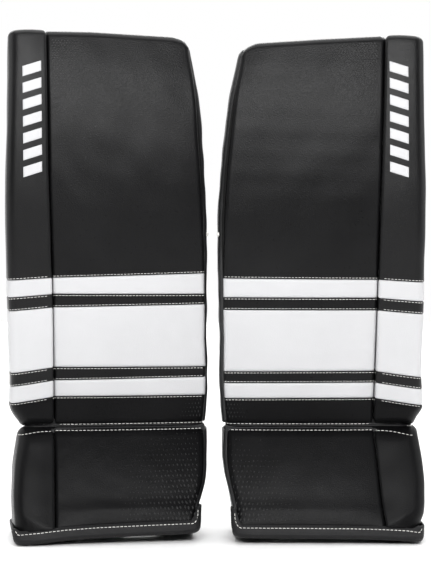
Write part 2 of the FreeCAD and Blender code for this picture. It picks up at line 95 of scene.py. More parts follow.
def straight(table):
    t, v = columns_of(table)
    return lambda q: np.interp(q, t, v)


def tuck(d, width, depth):
    """How far a panel turns in at distance d from its edge: a quarter round."""
    s = np.clip(1 - np.asarray(d, float) / width, 0, 1)
    return depth * (1 - np.sqrt(np.clip(1 - s * s, 0, 1)))


def graded(length, edge, fine, coarse):
    """Distances from 0 to length, fine within edge of either end."""
    ends = np.linspace(0, edge, max(2, int(math.ceil(edge / fine)) + 1))
    count = max(2, int(math.ceil((length - 2 * edge) / coarse)) + 1)
    middle = np.linspace(edge, length - edge, count)
    return np.unique(np.round(np.concatenate([ends, middle, length - ends]), 5))


def ripple(x, z, seed, size):
    """Gentle, seeded waviness over a surface, about -1 to 1."""
    rng = np.random.default_rng(seed)
    total = np.zeros(np.broadcast(x, z).shape)
    for _ in range(7):
        angle, phase = rng.uniform(0, 2 * math.pi, 2)
        length = size * rng.uniform(0.6, 1.8)
        total = total + np.sin((x * math.cos(angle) + z * math.sin(angle))
                               * 2 * math.pi / length + phase)
    return total / 3.5


def quarter(steps):
    """Angles from 0 to a right angle."""
    return np.linspace(0, math.pi / 2, steps)


def around(count):
    """Angles all the way round."""
    return np.linspace(0, 2 * math.pi, count + 1)[:-1]


def unit_vectors(v):
    v = np.asarray(v, float)
    return v / np.maximum(np.linalg.norm(v, axis=-1, keepdims=True), 1e-9)


def unit(a, b):
    length = math.hypot(b[0] - a[0], b[1] - a[1])
    return (b[0] - a[0]) / length, (b[1] - a[1]) / length


def beside(start, way, distance, out=0.0):
    """The point at distance along way from start, and out to its left."""
    return (start[0] + way[0] * distance - way[1] * out,
            start[1] + way[1] * distance + way[0] * out)


def level_with(points, height):
    """Flat points as rows of three, all at one height."""
    return np.column_stack([points, np.full(len(points), height)])


def distances(points):
    """How far along the line each of its points is."""
    return np.concatenate([[0], np.cumsum(np.linalg.norm(np.diff(points, axis=0), axis=1))])


def points_at(points, run, at):
    return np.stack([np.interp(at, run, column) for column in points.T], axis=1)


def resample(points, step, whole=round):
    """Evenly spaced points along the line."""
    run = distances(points)
    count = max(2, int(whole(run[-1] / step)) + 1)
    return points_at(points, run, np.linspace(0, run[-1], count))


def offset_path(path, distance):
    """The flat path moved to its left by distance, with mitred corners."""
    moved = []
    for i, point in enumerate(path):
        before = unit(path[i - 1], point) if i else None
        after = unit(point, path[i + 1]) if i + 1 < len(path) else None
        before, after = before or after, after or before
        normal = (-before[1] - after[1], before[0] + after[0])
        scale = distance / (normal[0] * -before[1] + normal[1] * before[0])
        moved.append((point[0] + normal[0] * scale, point[1] + normal[1] * scale))
    return moved


def corner_arc(corner, before, after, radius, count):
    """Points round a corner between two unit directions."""
    turn = math.acos(max(-1, min(1, float(before @ after))))
    cut = radius * math.tan(turn / 2)
    inward = (after - before) / np.linalg.norm(after - before)
    centre = corner + inward * radius / math.cos(turn / 2)
    start, end = corner - before * cut - centre, corner + after * cut - centre
    return [centre + (start * math.sin((1 - t) * turn) + end * math.sin(t * turn))
            / math.sin(turn) for t in np.linspace(0, 1, count)]


def rounded_path(path, radius, step):
    """Points along the flat path, with its corners rounded, evenly spaced."""
    path = [np.array(p, float) for p in path]
    ways = [np.array(unit(a, b)) for a, b in zip(path, path[1:])]
    points = path[:1]
    for corner, before, after in zip(path[1:], ways, ways[1:]):
        points += corner_arc(corner, before, after, radius, 14)
    return resample(np.array(points + path[-1:]), step, math.floor)


def rounded_loop(corners, radii, arc, edge, inset=0.0):
    """A closed flat loop with rounded corners, moved in by inset."""
    corners = [np.array(c, float) for c in corners]
    n = len(corners)
    following = corners[1:] + corners[:1]
    area = sum(a[0] * b[1] - b[0] * a[1] for a, b in zip(corners, following))
    turn_sign = 1 if area > 0 else -1
    lines = []
    for a, b in zip(corners, following):
        way = (b - a) / np.linalg.norm(b - a)
        lines.append((a + np.array([-way[1], way[0]]) * turn_sign * inset, way))
    arcs = []
    for i in range(n):
        (p, d), (q, e) = lines[i - 1], lines[i]
        cross = d[0] * e[1] - d[1] * e[0]
        moved = p + d * (((q - p)[0] * e[1] - (q - p)[1] * e[0]) / cross)
        radius = max(radii[i] + (-inset if cross * turn_sign > 0 else inset), 0.8)
        arcs.append(corner_arc(moved, d, e, radius, arc))
    points = []
    for i in range(n):
        a, b = arcs[i][-1], arcs[(i + 1) % n][0]
        points += arcs[i] + [a + (b - a) * t for t in np.linspace(0, 1, edge + 2)[1:-1]]
    return np.array(points)


def oblong(left, right, low, high):
    return [(left, low), (right, low), (right, high), (left, high)]


def channel(points):
    """Channel-frame points (x, b, h) in the pad frame."""
    x, b, h = np.moveaxis(np.asarray(points, float), -1, 0)
    return np.stack([x, BACK_AT_ANKLE_Y + b * math.cos(LEAN) - h * math.sin(LEAN),
                     ANKLE_Z + b * math.sin(LEAN) + h * math.cos(LEAN)], axis=-1)


# ---- the pads' outlines ----
face_y = through([(100, 22), (150, 4), (190, -6), (250, -22), (348, -42), (432, -50),
                  (520, -47), (600, -36), (668, -18), (700, -7)])
back_y = through([(130, 65.5), (150, 62), (240, 46), (340, 28.3), (405, 16.8), (432, 12),
                  (470, 9.3), (520, 9), (600, 14), (668, 22), (700, 27)])
boot_face_y = through([(10, -72), (82, -37), (148, 2)])
boot_back_y = straight([(10, 45), (148, 62)])
cad_outer = through([(148, -118.5), (176, -129.5), (240, -131.2), (350, -133.5), (450, -135),
                     (550, -132.5), (650, -132)])
cad_inner = through([(148, 131), (200, 134.5), (400, 134.5), (521, 129), (600, 119.7),
                     (640, 111)])
cad_top = straight([(-132, 664), (-119, 671), (-78, 669), (88, 656), (103, 651.5), (111, 640)])
cad_boot_outer = through([(8, -126), (56, -129.5), (108, -127), (152, -119)])
cad_boot_inner = through([(8, 117), (45, 121.5), (80, 129), (152, 131)])
plain_inset = through([(150, 3.0), (348, 3.5), (430, 6), (500, 7.5), (600, 6), (640, 3.5),
                       (652, 1)])

# Leather stands a little proud of the solids or short of them, differently on the two pads.
# Outlines are (height, mm outward), top and toe (x, mm up), bands (mm up at the roll, at the
# inner seam) from the lowest edge up, seam (height, mm towards the roll) and side (height,
# mm that the inner side's seam lies further in).
FITS = {
    "right": {
        "outer": [(148, -7), (165, -6.5), (193, -4.5), (266, -2.7), (381, -1.4), (520, -1.5),
                  (602, -2.7), (660, -4)],
        "inner": [(148, 5), (168, 4.5), (193, 4), (225, 1.5), (266, -2.5), (340, -3.5),
                  (381, -2.5), (471, -2.5), (520, -2), (560, 0), (602, 1), (640, 2.5)],
        "boot_outer": [(18, -1), (30, -2), (60, -3.5), (100, -4.5), (130, -5.5), (145, -7)],
        "boot_inner": [(18, -1), (40, -1.4), (72, 2.7), (105, 4), (122, 5.5), (140, 6.8)],
        "top": [(-132, 5), (-80, 5), (-78, 6), (-20, 10), (88, 13), (103, 14)],
        "bands": [(-1.2, -1.8), (1.0, 3.2), (2.6, 1.2), (0.9, 3.5), (2.2, 0.8), (0.8, 5.6)],
        "toe": [(-131, 0), (-95, 2.5), (-60, 6), (-20, 8), (40, 9.5), (115, 11)],
        "seam": [(18, -2), (150, -1), (330, 0), (480, 2.7), (671, 1)],
        "side": [(150, 0.8), (400, 0.8), (500, 0)],
    },
    "left": {
        "outer": [(148, 5), (168, 2.7), (193, 4), (266, 2), (381, 0), (660, 1)],
        "inner": [(148, 1), (200, 1), (266, -1.4), (320, 0), (381, 2.7), (430, 3.8), (471, 2.7),
                  (520, 1.3), (602, 0), (640, 0)],
        "boot_outer": [(18, 4), (30, 4.5), (40, 6.5), (72, 7), (105, 8), (130, 8), (145, 8)],
        "boot_inner": [(18, -1), (40, -2.7), (72, -2.7), (105, 0), (140, 0)],
        "top": [(-132, -1.5), (-80, -1.5), (-78, 0), (0, 2), (60, 3), (84, 3.5), (94, 2.4),
                (103, 1.2)],
        "bands": [(-4.0, -5.0), (-2.8, -3.8), (-3.4, -4.4), (-3.6, -3.1), (-3.5, -3.0),
                  (-2.2, -0.6)],
        "toe": [(-131, 1), (-110, 4), (-80, 5.5), (-40, 6.5), (115, 7.5)],
        "seam": [(18, 8), (60, 5), (150, 0), (400, 0), (671, 5)],
        "side": [(150, 2.5), (400, 2.5), (500, 0)],
    },
}
fit = {}


def fit_to(side):
    """Takes up one pad's fit for everything built after it."""
    for key, table in FITS[side].items():
        fit[key] = table if key == "bands" else straight(table)


def outer_x(z):
    return cad_outer(z) - fit["outer"](z)


def inner_x(z):
    return cad_inner(z) + fit["inner"](z)


def boot_outer_x(z):
    return cad_boot_outer(z) - fit["boot_outer"](z)


def boot_inner_x(z):
    return cad_boot_inner(z) + fit["boot_inner"](z)


def seam_x(z):
    """The seam between the outer roll and the face."""
    return np.interp(z, [18, 150, 671], [-75, -71, -79]) - fit["seam"](z)


def seam_inset(z):
    """How far in from the outline the inner side's seam runs."""
    return plain_inset(z) + fit["side"](z)


def top_z(x):
    return cad_top(x) + fit["top"](x)


def lip_share(z):
    """How much of the toe's lift reaches height z."""
    return np.clip((62 - z) / 42, 0, 1)


# ---- where each pad stands ----
class Pad:
    """Takes pad-frame points in mm to the row frame in metres."""

    def __init__(self, side):
        knee = JOINTS[side + "_thigh_flex"]
        mirror = -1 if side == "right" else 1
        across = np.array(knee["axis"], float) * mirror
        up = np.array([0.0, 0.0, 1.0])
        self.axes = np.stack([across, np.cross(up, across) * -mirror, up])
        self.origin = np.array(knee["pos_m"]) - np.array([0, KNEE_Y, KNEE_Z]) @ self.axes * 0.001

    def place(self, points):
        return np.asarray(points, float).reshape(-1, 3) @ self.axes * 0.001 + self.origin


PADS = {side: Pad(side) for side in SIDES}


# ---- meshes ----
class Form:
    """A mesh in the pad frame: points, faces, and optional weave coordinates in mm."""

    def __init__(self, points, faces, weave=None):
        self.points, self.faces = np.asarray(points, float).reshape(-1, 3), faces
        self.weave = weave

    def moved(self, by):
        return Form(self.points + by, self.faces, self.weave)


def total(forms):
    """Many forms as one."""
    points, faces, weaves, shift = [], [], [], 0
    for f in forms:
        points.append(f.points)
        faces += [tuple(i + shift for i in face) for face in f.faces]
        weaves.append(f.weave if f.weave is not None else np.zeros((len(f.points), 2)))
        shift += len(f.points)
    return Form(np.concatenate(points), faces, np.concatenate(weaves))


def outward(form):
    """The same closed form with its faces looking outward."""
    triangles = [(f[0], f[i], f[i + 1]) for f in form.faces for i in range(1, len(f) - 1)]
    centred = form.points - form.points.mean(axis=0)
    a, b, c = (centred[corner] for corner in np.array(triangles).T)
    if np.sum(a * np.cross(b, c)) < 0:
        return Form(form.points, [f[::-1] for f in form.faces], form.weave)
    return form


def grid_faces(rows, columns, closed=False, ring=False):
    """Faces of a grid of points; closed joins its sides, ring its ends."""
    faces = []
    for i in range(rows if ring else rows - 1):
        here, there = i * columns, (i + 1) % rows * columns
        for j in range(columns if closed else columns - 1):
            k = (j + 1) % columns
            faces.append((here + j, here + k, there + k, there + j))
    return faces


def rim_of(rows, columns):
    """The (row, column) of each point round a grid's edge."""
    return ([(0, j) for j in range(columns)] + [(i, columns - 1) for i in range(1, rows)]
            + [(rows - 1, j) for j in range(columns - 2, -1, -1)]
            + [(i, 0) for i in range(rows - 2, 0, -1)])


def shell(grid, thick, weave=None):
    """A closed panel, of which the grid is the outer surface."""
    rows, columns, _ = grid.shape
    normal = unit_vectors(np.cross(np.gradient(grid, axis=1), np.gradient(grid, axis=0)))
    inner = grid - normal * thick
    count = rows * columns
    rim = rim_of(rows, columns)
    middle = []
    for i, j in rim:
        toward = np.zeros(3)
        if i in (0, rows - 1):
            toward += grid[i, j] - grid[1 if i == 0 else rows - 2, j]
        if j in (0, columns - 1):
            toward += grid[i, j] - grid[i, 1 if j == 0 else columns - 2]
        middle.append((grid[i, j] + inner[i, j]) / 2 + unit_vectors(toward) * thick * 0.3)
    points = np.concatenate([grid.reshape(-1, 3), inner.reshape(-1, 3), np.array(middle)])
    faces = grid_faces(rows, columns)
    faces += [tuple(count + i for i in reversed(f)) for f in faces]
    outer_rim = [i * columns + j for i, j in rim]
    for k, a in enumerate(outer_rim):
        m = (k + 1) % len(rim)
        b = outer_rim[m]
        faces.append((b, a, 2 * count + k, 2 * count + m))
        faces.append((2 * count + m, 2 * count + k, count + a, count + b))
    coords = None
    if weave is not None:
        flat = weave.reshape(-1, 2)
        coords = np.concatenate([flat, flat, flat[outer_rim]])
    return Form(points, faces, coords)


def loft(rings):
    """A closed body through rings of the same count, with its two ends filled."""
    rings = np.asarray(rings, float)
    n, m, _ = rings.shape
    faces = grid_faces(n, m, closed=True)
    faces.append(tuple(range(m - 1, -1, -1)))
    faces.append(tuple((n - 1) * m + j for j in range(m)))
    return Form(rings, faces)


def ends(radius, steps=6):
    """(inset, distance from the end) pairs that round a body's end, from the tip on."""
    return [(radius * (1 - math.sin(t)), radius * (1 - math.cos(t))) for t in quarter(steps + 1)]


def tube(section, low, high, r_low, r_high, step=4.0, close=(4.0, 9.0)):
    """The rings of a padded body between two end surfaces.

    section(z, inset) is a loop at about that height; low(x, y) and high(x, y) are heights.
    """
    mid_low, mid_high = (float(np.mean(end(0.0, 0.0))) for end in (low, high))
    rings = []

    def ring(guess, inset, height):
        loop = section(guess, inset)
        x, y = loop.T
        rings.append(np.column_stack([loop, height(x, y) + 0 * x]))
    for extra in reversed(close):
        ring(mid_low, r_low + extra, low)
    for inset, up in ends(r_low):
        ring(mid_low + up, inset, lambda x, y: low(x, y) + up)
    count = max(2, int((mid_high - mid_low - r_low - r_high) / step))
    for t in np.linspace(0, 1, count + 1)[1:-1]:
        ring((mid_low + r_low) * (1 - t) + (mid_high - r_high) * t, 0.0,
             lambda x, y: (low(x, y) + r_low) * (1 - t) + (high(x, y) - r_high) * t)
    for inset, down in reversed(ends(r_high)):
        ring(mid_high - down, inset, lambda x, y: high(x, y) - down)
    for extra in close:
        ring(mid_high, r_high + extra, high)
    return np.array(rings)


def new_object(name, points, faces, material, slot):
    mesh = bpy.data.meshes.new(name)
    mesh.from_pydata(points.tolist(), [], faces)
    mesh.materials.append(material)
    obj = bpy.data.objects.new(name, mesh)
    bpy.context.scene.collection.objects.link(obj)
    return obj


def piece(side, name, form, body, material, slot, replaces=(), padded=None):
    """One piece of one pad. A body is a body's name, or (from, to, bend) for a piece that spans
    two; such a piece is only fixed in place.
    """
    place, form = PADS[side].place, outward(form)
    faces = form.faces if side == "right" else [f[::-1] for f in form.faces]
    obj = new_object(side + "_" + name, place(form.points), faces, material, slot)
    mesh = obj.data
    if form.weave is not None:
        layer = mesh.uv_layers.new(name="weave")
        index = np.zeros(len(mesh.loops), np.int32)
        mesh.loops.foreach_get("vertex_index", index)
        layer.data.foreach_set("uv", (form.weave[index] * 0.001).astype(np.float32).ravel())
    mesh.shade_smooth()
    if isinstance(body, str):
        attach(obj, side + "_" + body)
    else:
        fixed, moving, bend = body
        start, end = (tuple(p) for p in place(bend))
        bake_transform(obj)
    if replaces:
        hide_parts(*[side + "_" + n for n in replaces])
    return obj


def both(*args, **kwargs):
    """The same piece on both pads."""
    for side in SIDES:
        piece(side, *args, **kwargs)


OVER_KNEE = ("shin", "thigh", ((0, -20, 412), (0, -20, 452)))
OVER_ANKLE = ("shin", "boot", ((0, 0, 156), (0, 0, 144)))


# ---- the pad's outer surfaces ----
ROLL_SLOPES = [math.tan(math.radians(a)) for a in (9, 8.5, 8, 5, 4.5, 3.5)]
U = graded(205.0, 12, 1.3, 4.0) / 205.0     # shares of the way across the face
EDGE = 0.35                # half the gap between two panels
FACE_CROWN = 3.5
CORNER_Z = 651.5           # the top's inner corner
LOW_EDGE = 147.8           # the shin panel's lower edge at the ankle's groove
BOOT_EDGE = 144.4          # the boot panel's upper edge
TOP_ROUND = 8.0
HEM, UNDER_HEM = 20.0, 22.0     # how far the face comes down at the back, and the lining's top
LEATHER = 2.6              # the panels' thickness


def medial_x(z):
    """The seam between the face and the inner side."""
    z = np.asarray(z, float)
    below = inner_x(np.minimum(z, 640)) - seam_inset(np.minimum(z, 640))
    return below + (CORNER_X - below) * np.clip((z - 640) / 11.5, 0, 1)


def face_edge(k):
    """Height of the k-th panel edge across the face."""
    at_roll, at_side = fit["bands"][k]
    return lambda x: (BAND_EDGES[k] + at_roll
                      + (at_side - at_roll) * (np.asarray(x, float) + 75) / 200)


def roll_edge(k):
    at_seam = float(face_edge(k)(-75))
    return lambda x, y: at_seam + ROLL_SLOPES[k] * (np.asarray(x, float) + 75)


def face_surface(x, z, right, seed):
    """The face's leather between the roll seam and the inner seam."""
    left = seam_x(z) + EDGE
    a = np.clip((x - left) / (right - left), 0, 1)
    return (face_y(z) - FACE_CROWN * (1 - np.abs(2 * a - 1) ** 3) + tuck(x - left, 4.5, 4.5)
            + tuck(right - x, 6, 4.5) + 0.5 * ripple(x, z, seed, 110)
            + 0.25 * ripple(x, z, seed + 1, 34))


def face_panel(low, high, seed, low_turn):
    """One panel of the face between two edges, each a function of x."""
    tall = float(np.mean(high(0.0)) - np.mean(low(0.0)))
    t = (graded(tall, min(6, tall * 0.4), 0.9, 4.0) / tall)[:, None]
    x = np.tile(seam_x(200) + U * 205, (len(t), 1))
    for _ in range(3):
        lo, hi = low(x) + EDGE / 2, high(x) - EDGE / 2
        z = lo + t * (hi - lo)
        right, left = medial_x(z), seam_x(z) + EDGE
        x = left + U * (right - left)
    y = face_surface(x, z, right, seed) + tuck(z - lo, *low_turn) + tuck(hi - z, 5, 2.0)
    return shell(np.stack([x, y, z], axis=-1), LEATHER)


def upper_face(seed):
    """The long panel of knee and thigh, which wraps over the top to the back."""
    low, start = face_edge(5), BAND_EDGES[5]
    left_top = float(seam_x(669)) + EDGE
    x_top = left_top + U * (CORNER_X - left_top)
    crest = top_z(x_top)
    tall = float(crest.mean() - TOP_ROUND - start)

    def across(z, right):
        left = seam_x(z) + EDGE
        return left + U * (right - left)

    def side_drop(x, right):
        return tuck(x - left_top, 2, 0.8) + tuck(right - x, 10, 2.2)
    rows = []
    for t in graded(tall, 6, 0.9, 4.0) / tall:
        right = float(medial_x(start + t * (CORNER_Z - TOP_ROUND - start)))
        x = x_top
        for _ in range(3):
            z = low(x) + EDGE / 2 + t * (crest - TOP_ROUND - low(x))
            x = across(z, right)
        y = face_surface(x, z, right, seed) + tuck(z - low(x) - EDGE / 2, 5, 2.0)
        rows.append((x, y, z))
    for angle in quarter(9)[1:]:
        z = crest - TOP_ROUND + TOP_ROUND * math.sin(angle)
        right = float(medial_x(CORNER_Z - TOP_ROUND + TOP_ROUND * math.sin(angle)))
        x = across(z, right)
        y = face_surface(x, z, right, seed) + TOP_ROUND * (1 - math.cos(angle))
        rows.append((x, y, z - side_drop(x, right) * math.sin(angle) ** 2))
    front_y = y
    rear = back_y(crest) - TOP_ROUND
    top = crest - side_drop(x, float(x[-1]))
    for q in np.linspace(0, 1, 7)[1:]:
        y = front_y + (rear - front_y) * q
        rows.append((x, y, top + 0.8 * math.sin(math.pi * q) + 0.3 * ripple(x, y, seed + 2, 40)))
    for angle in quarter(6)[1:]:
        rows.append((x, rear + TOP_ROUND * math.sin(angle),
                     top - TOP_ROUND * (1 - math.cos(angle))))
    for down in graded(HEM, 4, 1, 4)[1:]:
        z = top - TOP_ROUND - down
        rows.append((x, back_y(z) + 1.4 - tuck(HEM - down, 4, 1.4), z))
    return shell(np.array([np.stack(r, axis=-1) for r in rows]), LEATHER)


def side_path():
    """The inner outline in front view, from the ankle round the top corner."""
    points = [(float(inner_x(z)), z) for z in np.arange(151, 636, 4.0)]
    end, top = float(inner_x(640)), float(top_z(CORNER_X))
    points += [(end + 0.2, 639), (end - 2.0, 640 + (top - 640) * 0.45),
               (CORNER_X + 2.5, top - 2.6), (CORNER_X - 1.5, top - 2.0)]
    return resample(np.array(points), 3.5)


def inner_side(path, front_of, rear_of, inset_of, seed, round_back=8.0, bulge=1.2):
    """The inner side's panel: a strip along the outline, from the face's seam to the back."""
    tangent = unit_vectors(np.gradient(path, axis=0))
    rows = []
    for (x, z), (tx, tz) in zip(path, tangent):
        r = float(inset_of(z)) + 1.5
        front, rear = float(front_of(z)) + 6.2, float(rear_of(z))
        start, end = front + r, rear - round_back
        section = [(-r * (1 - math.sin(a)), start - r * math.cos(a)) for a in quarter(6)]
        section += [(bulge * math.sin(math.pi * q), start + (end - start) * q)
                    for q in np.linspace(0, 1, 12)[1:-1]]
        section += [(-round_back * (1 - math.cos(a)), end + round_back * math.sin(a))
                    for a in quarter(6)]
        out, y = np.array(section).T
        out = out + 0.35 * ripple(y, z, seed, 45)
        rows.append(np.stack([x + tz * out, y, z - tx * out], axis=-1))
    return shell(np.array(rows), 2.4)


def back_panel(seed):
    """The nylon back of thigh and shin."""
    low, tall = 158.0, 484.0
    v = graded(1.0, 0.05, 0.008, 0.05)
    rows = []
    for up in graded(tall, 6, 1.2, 6.0):
        right, left = float(inner_x(low + up)) - 7.5, float(seam_x(low + up)) + 0.6
        x = right + v * (left - right)
        high = top_z(x) - UNDER_HEM
        z = low + up / tall * (high - low)
        y = (back_y(z) + 1.2 - tuck(x - left, 5, 1.6) - tuck(right - x, 5, 1.6)
             - tuck(z - low, 5, 2) - tuck(high - z, 5, 2)
             + 0.5 * ripple(x, z, seed, 60) - 1.2 * np.exp(-((z - KNEE_Z) / 3.0) ** 2))
        rows.append(np.stack([x, y, z], axis=-1))
    grid = np.array(rows)
    return shell(grid, 2.2, grid[..., [0, 2]])


def plan(left, right, front, rear):
    """A piece's four corners from above."""
    return [(left, front), (left, rear), (right, rear), (right, front)]


def foam_core():
    """The dark foam behind the panels, from the groove to under the top."""
    rings = []
    for z in [156, *np.arange(160, 640, 6.0), 645]:
        left, right = float(seam_x(z)) + 1.5, float(inner_x(z)) - 3.2
        front, rear = float(face_y(z)) + 3.2, float(back_y(z)) - 2.4
        loop = rounded_loop(plan(left, right, front, rear), [2, 3, 7, 9], arc=5, edge=4)
        rings.append(level_with(loop, z))
    return loft(rings)


# ---- rolls ----
def cushion(left, front, rear, z, inset, seed, outer_round, swell, wave, size):
    """A roll's section at a height: it swells to the front and the outer side."""
    right = float(seam_x(z)) - EDGE
    x, y = rounded_loop(plan(left, right, front, rear), [outer_round, 9, 5, 4], arc=8, edge=10,
                        inset=inset).T
    a = np.clip((x - left) / (right - left), 0, 1)
    b = np.clip((y - front) / (rear - front), 0, 1)
    swell = swell * np.sin(math.pi * a) ** 1.5 * (1 - b) ** 2
    side = 1.5 * np.sin(math.pi * b) * (1 - a) ** 2
    wave = wave * ripple(x + y, z + 0 * x, seed, size)
    return np.stack([x - side - wave * (1 - a), y - swell - wave * (1 - b)], axis=-1)


def groove_wall(y, rear_slope):
    """How far the ankle groove's wall stands off its bottom at depth y."""
    return np.where(y < ANKLE_Y, (ANKLE_Y - y) * GROOVE_SLOPE, (y - ANKLE_Y) * rear_slope)


def shin_foot(_, y):
    """Lower end of the shin's pieces at the ankle's groove."""
    return ANKLE_Z - 2.2 + groove_wall(y, 0.035)


def boot_head(_, y):
    """Upper end of the boot's pieces there."""
    return ANKLE_Z - 1.2 - groove_wall(y, 0.14)


def roll_crest(x, _):
    """The roll's domed upper end."""
    return CREST_Z + float(fit["top"](-100)) - 2.0 * ((np.asarray(x, float) + 100) / 27) ** 2


def roll_piece(low, high, r_low, r_high, seed, close=(4.0, 9.0)):
    """One length of the outer roll, whose front and back follow the pad's lean."""
    def section(z, inset):
        return cushion(float(outer_x(z)), float(face_y(z)) - ROLL_PROUD, float(back_y(z)), z,
                       inset, seed, 12, 1.8, 0.35, 70)
    rings = tube(section, low, high, r_low, r_high, close=close)
    for ring in rings:
        middle = ring[:, 2].mean()
        front, rear = float(face_y(middle)), float(back_y(middle))
        b = np.clip((ring[:, 1] - front) / (rear - front), 0, 1)
        ring[:, 1] += (1 - b) * (face_y(ring[:, 2]) - front) + b * (back_y(ring[:, 2]) - rear)
    return loft(rings)


def boot_roll(seed):
    """The roll's part on the boot, cut away at its low outer corner."""
    def section(z, inset):
        return cushion(float(boot_outer_x(z)), float(boot_face_y(z)) - ROLL_PROUD + 1,
                       float(boot_back_y(z)), z, inset, seed, 14, 2.5, 0.4, 60)
    rings = tube(section, lambda x, y: 15.0, boot_head, 3.0, 10.0)
    for ring in rings:
        front, rear = float(boot_face_y(ring[:, 2].mean())), float(boot_back_y(60))
        b = np.clip((ring[:, 1] - front) / (rear - front), 0, 1)
        ring[:, 1] += (1 - b) * (boot_face_y(ring[:, 2]) - front)
        past = (-84 - ring[:, 0]) / 46 + (47 - ring[:, 2]) / 28 - 1
        cut = np.clip(past, 0, 1) * (1 - b) ** 3
        ring[:, 1] += 9 * cut
        ring[:, 0] += 2.0 * cut
    return loft(rings)


# ---- boot ----
boot_inset = straight([(18, 4.5), (60, 5.0), (150, 5.0)])


def toe_sprung(form):
    """The form with the boot's front lip lifted off the ground, most at the inner side."""
    x, y, z = form.points.T
    near_front = np.clip((-8 - y) / 45, 0, 1) ** 0.8
    low = lip_share(z)
    lift = fit["toe"](x) * near_front * low * low * (3 - 2 * low)
    return form.moved(np.outer(lift, (0, 0, 1)))


def boot_face(seed):
    low, high = 15.5, BOOT_EDGE
    z = (low + graded(high - low, 12, 1.2, 4.0))[:, None]
    left, right = seam_x(z) + EDGE, boot_inner_x(z) - boot_inset(z)
    x = left + U * (right - left)
    z = z + 0 * x
    a = (x - left) / (right - left)
    y = (boot_face_y(z) - 5.0 * (1 - np.abs(2 * a - 1) ** 3) * np.clip((z - 10) / 30, 0, 1)
         + tuck(x - left, 4.5, 4.5) + tuck(right - x, 9, 5.5) + tuck(high - z, 11, 8)
         + tuck(z - low, 4, 1.5) + 0.3 * ripple(x, z, seed, 90) + 0.12 * ripple(x, z, seed + 1, 30))
    return shell(np.stack([x, y, z], axis=-1), LEATHER)


def boot_side(seed):
    """The boot's inner side, from the face's seam to the back edge."""
    path = np.array([(float(boot_inner_x(q)), q) for q in np.arange(17, 145, 4.0)])
    return inner_side(path, boot_face_y, lambda z: float(boot_back_y(z)) + 0.4, boot_inset,
                      seed, round_back=6.0, bulge=2.0)


def skate_plan(left, right, front, rear, channel_y):
    """A plan outline with the channel for the skate open at the back."""
    return [(left, front), (right, front), (right, rear), (62, rear), (62, channel_y),
            (-60, channel_y), (-60, rear), (left, rear)]


def boot_block():
    """The boot's foam with the skate's channel, closed at top and bottom."""
    def section(z, inset):
        front, rear = float(boot_face_y(z)) + 3.0, float(boot_back_y(z)) - 0.6
        corners = skate_plan(float(seam_x(z)) + 1.2, float(boot_inner_x(z)) - 2.8, front, rear,
                             min(front + 52, rear - 5.0))
        return rounded_loop(corners, [3, 8, 5, 5, 2.2, 2.2, 5, 5], arc=6, edge=6, inset=inset)
    return loft(tube(section, lambda x, y: SOLE + 0.4, boot_head, 1.5, 2.5, step=5.0, close=()))


def sole_block():
    """The foot of the boot inside the bumper."""
    corners = skate_plan(-127.0, 119.0, -70.0, 45.5, -17)
    return loft([level_with(rounded_loop(corners, [10, 10, 4, 3, 3, 3, 3, 4], arc=6, edge=10,
                                         inset=inset), z)
                 for z, inset in ((0.0, 7.0), (0.8, 4.0), (3.0, 1.5), (7, 0.2), (12, 0.0),
                                  (17.6, 0.4))])


def boot_outline(z, proud):
    """The whole boot's front half in plan, from the outer rear round to the inner rear."""
    left, right = float(boot_outer_x(z)) - proud, float(boot_inner_x(z)) + proud
    front, rear = float(boot_face_y(z)) - 3.0 - proud, float(boot_back_y(z))
    r = 12.0
    turn = [(r * (1 - math.cos(a)), front + r * (1 - math.sin(a))) for a in quarter(9)]
    points = np.array([(left, rear)] + [(left + d, y) for d, y in turn]
                      + [(right - d, y) for d, y in reversed(turn)] + [(right, rear)])
    run = distances(points)
    return points_at(points, run, graded(1.0, 0.01, 0.005, 0.0085) * run[-1])


def bumper(seed):
    """The strip of leather round the boot's foot, with ears at its front corners."""
    outlines = {}

    def outline(z):
        key = round(z * 2) / 2
        if key not in outlines:
            outlines[key] = boot_outline(key, 3.4)
        return outlines[key]
    x, y = outline(12).T
    front_only = np.clip((-8 - y) / 12, 0, 1)
    high = (17.0 + 24.0 * np.clip((x - 103) / 15, 0, 1) ** 2.2 * front_only
            + 5.5 * np.clip((-113 - x) / 13, 0, 1) ** 2 * front_only)
    round_r = 7.0 + 3.5 * np.clip((np.abs(x + 4) - 95) / 25, 0, 1)
    aside, rearward = np.clip(-x / 100, -1, 1), np.clip((40 - y) / 40, 0, 1)
    inward = unit_vectors(np.stack([aside, rearward], axis=1))
    rows = []
    for angle in quarter(7):
        xy = outline(6) + inward * (round_r * (1 - math.sin(angle)))[:, None]
        rows.append(np.column_stack([xy, round_r * (1 - math.cos(angle)) + 0.3]))
    inward = unit_vectors(np.stack([aside * np.clip((y + 50) / 30, 0.15, 1), rearward], axis=1))
    for t in np.linspace(0, 1, 12)[1:]:
        z = round_r + 0.3 + t * (high - round_r - 0.3)
        xy = np.array([outline(height)[j] for j, height in enumerate(z)])
        pull = tuck(high - z, 3.5, 2.2) + 0.25 * ripple(x, z, seed, 50)
        rows.append(np.column_stack([xy + inward * pull[:, None], z]))
    return shell(np.array(rows), LEATHER)


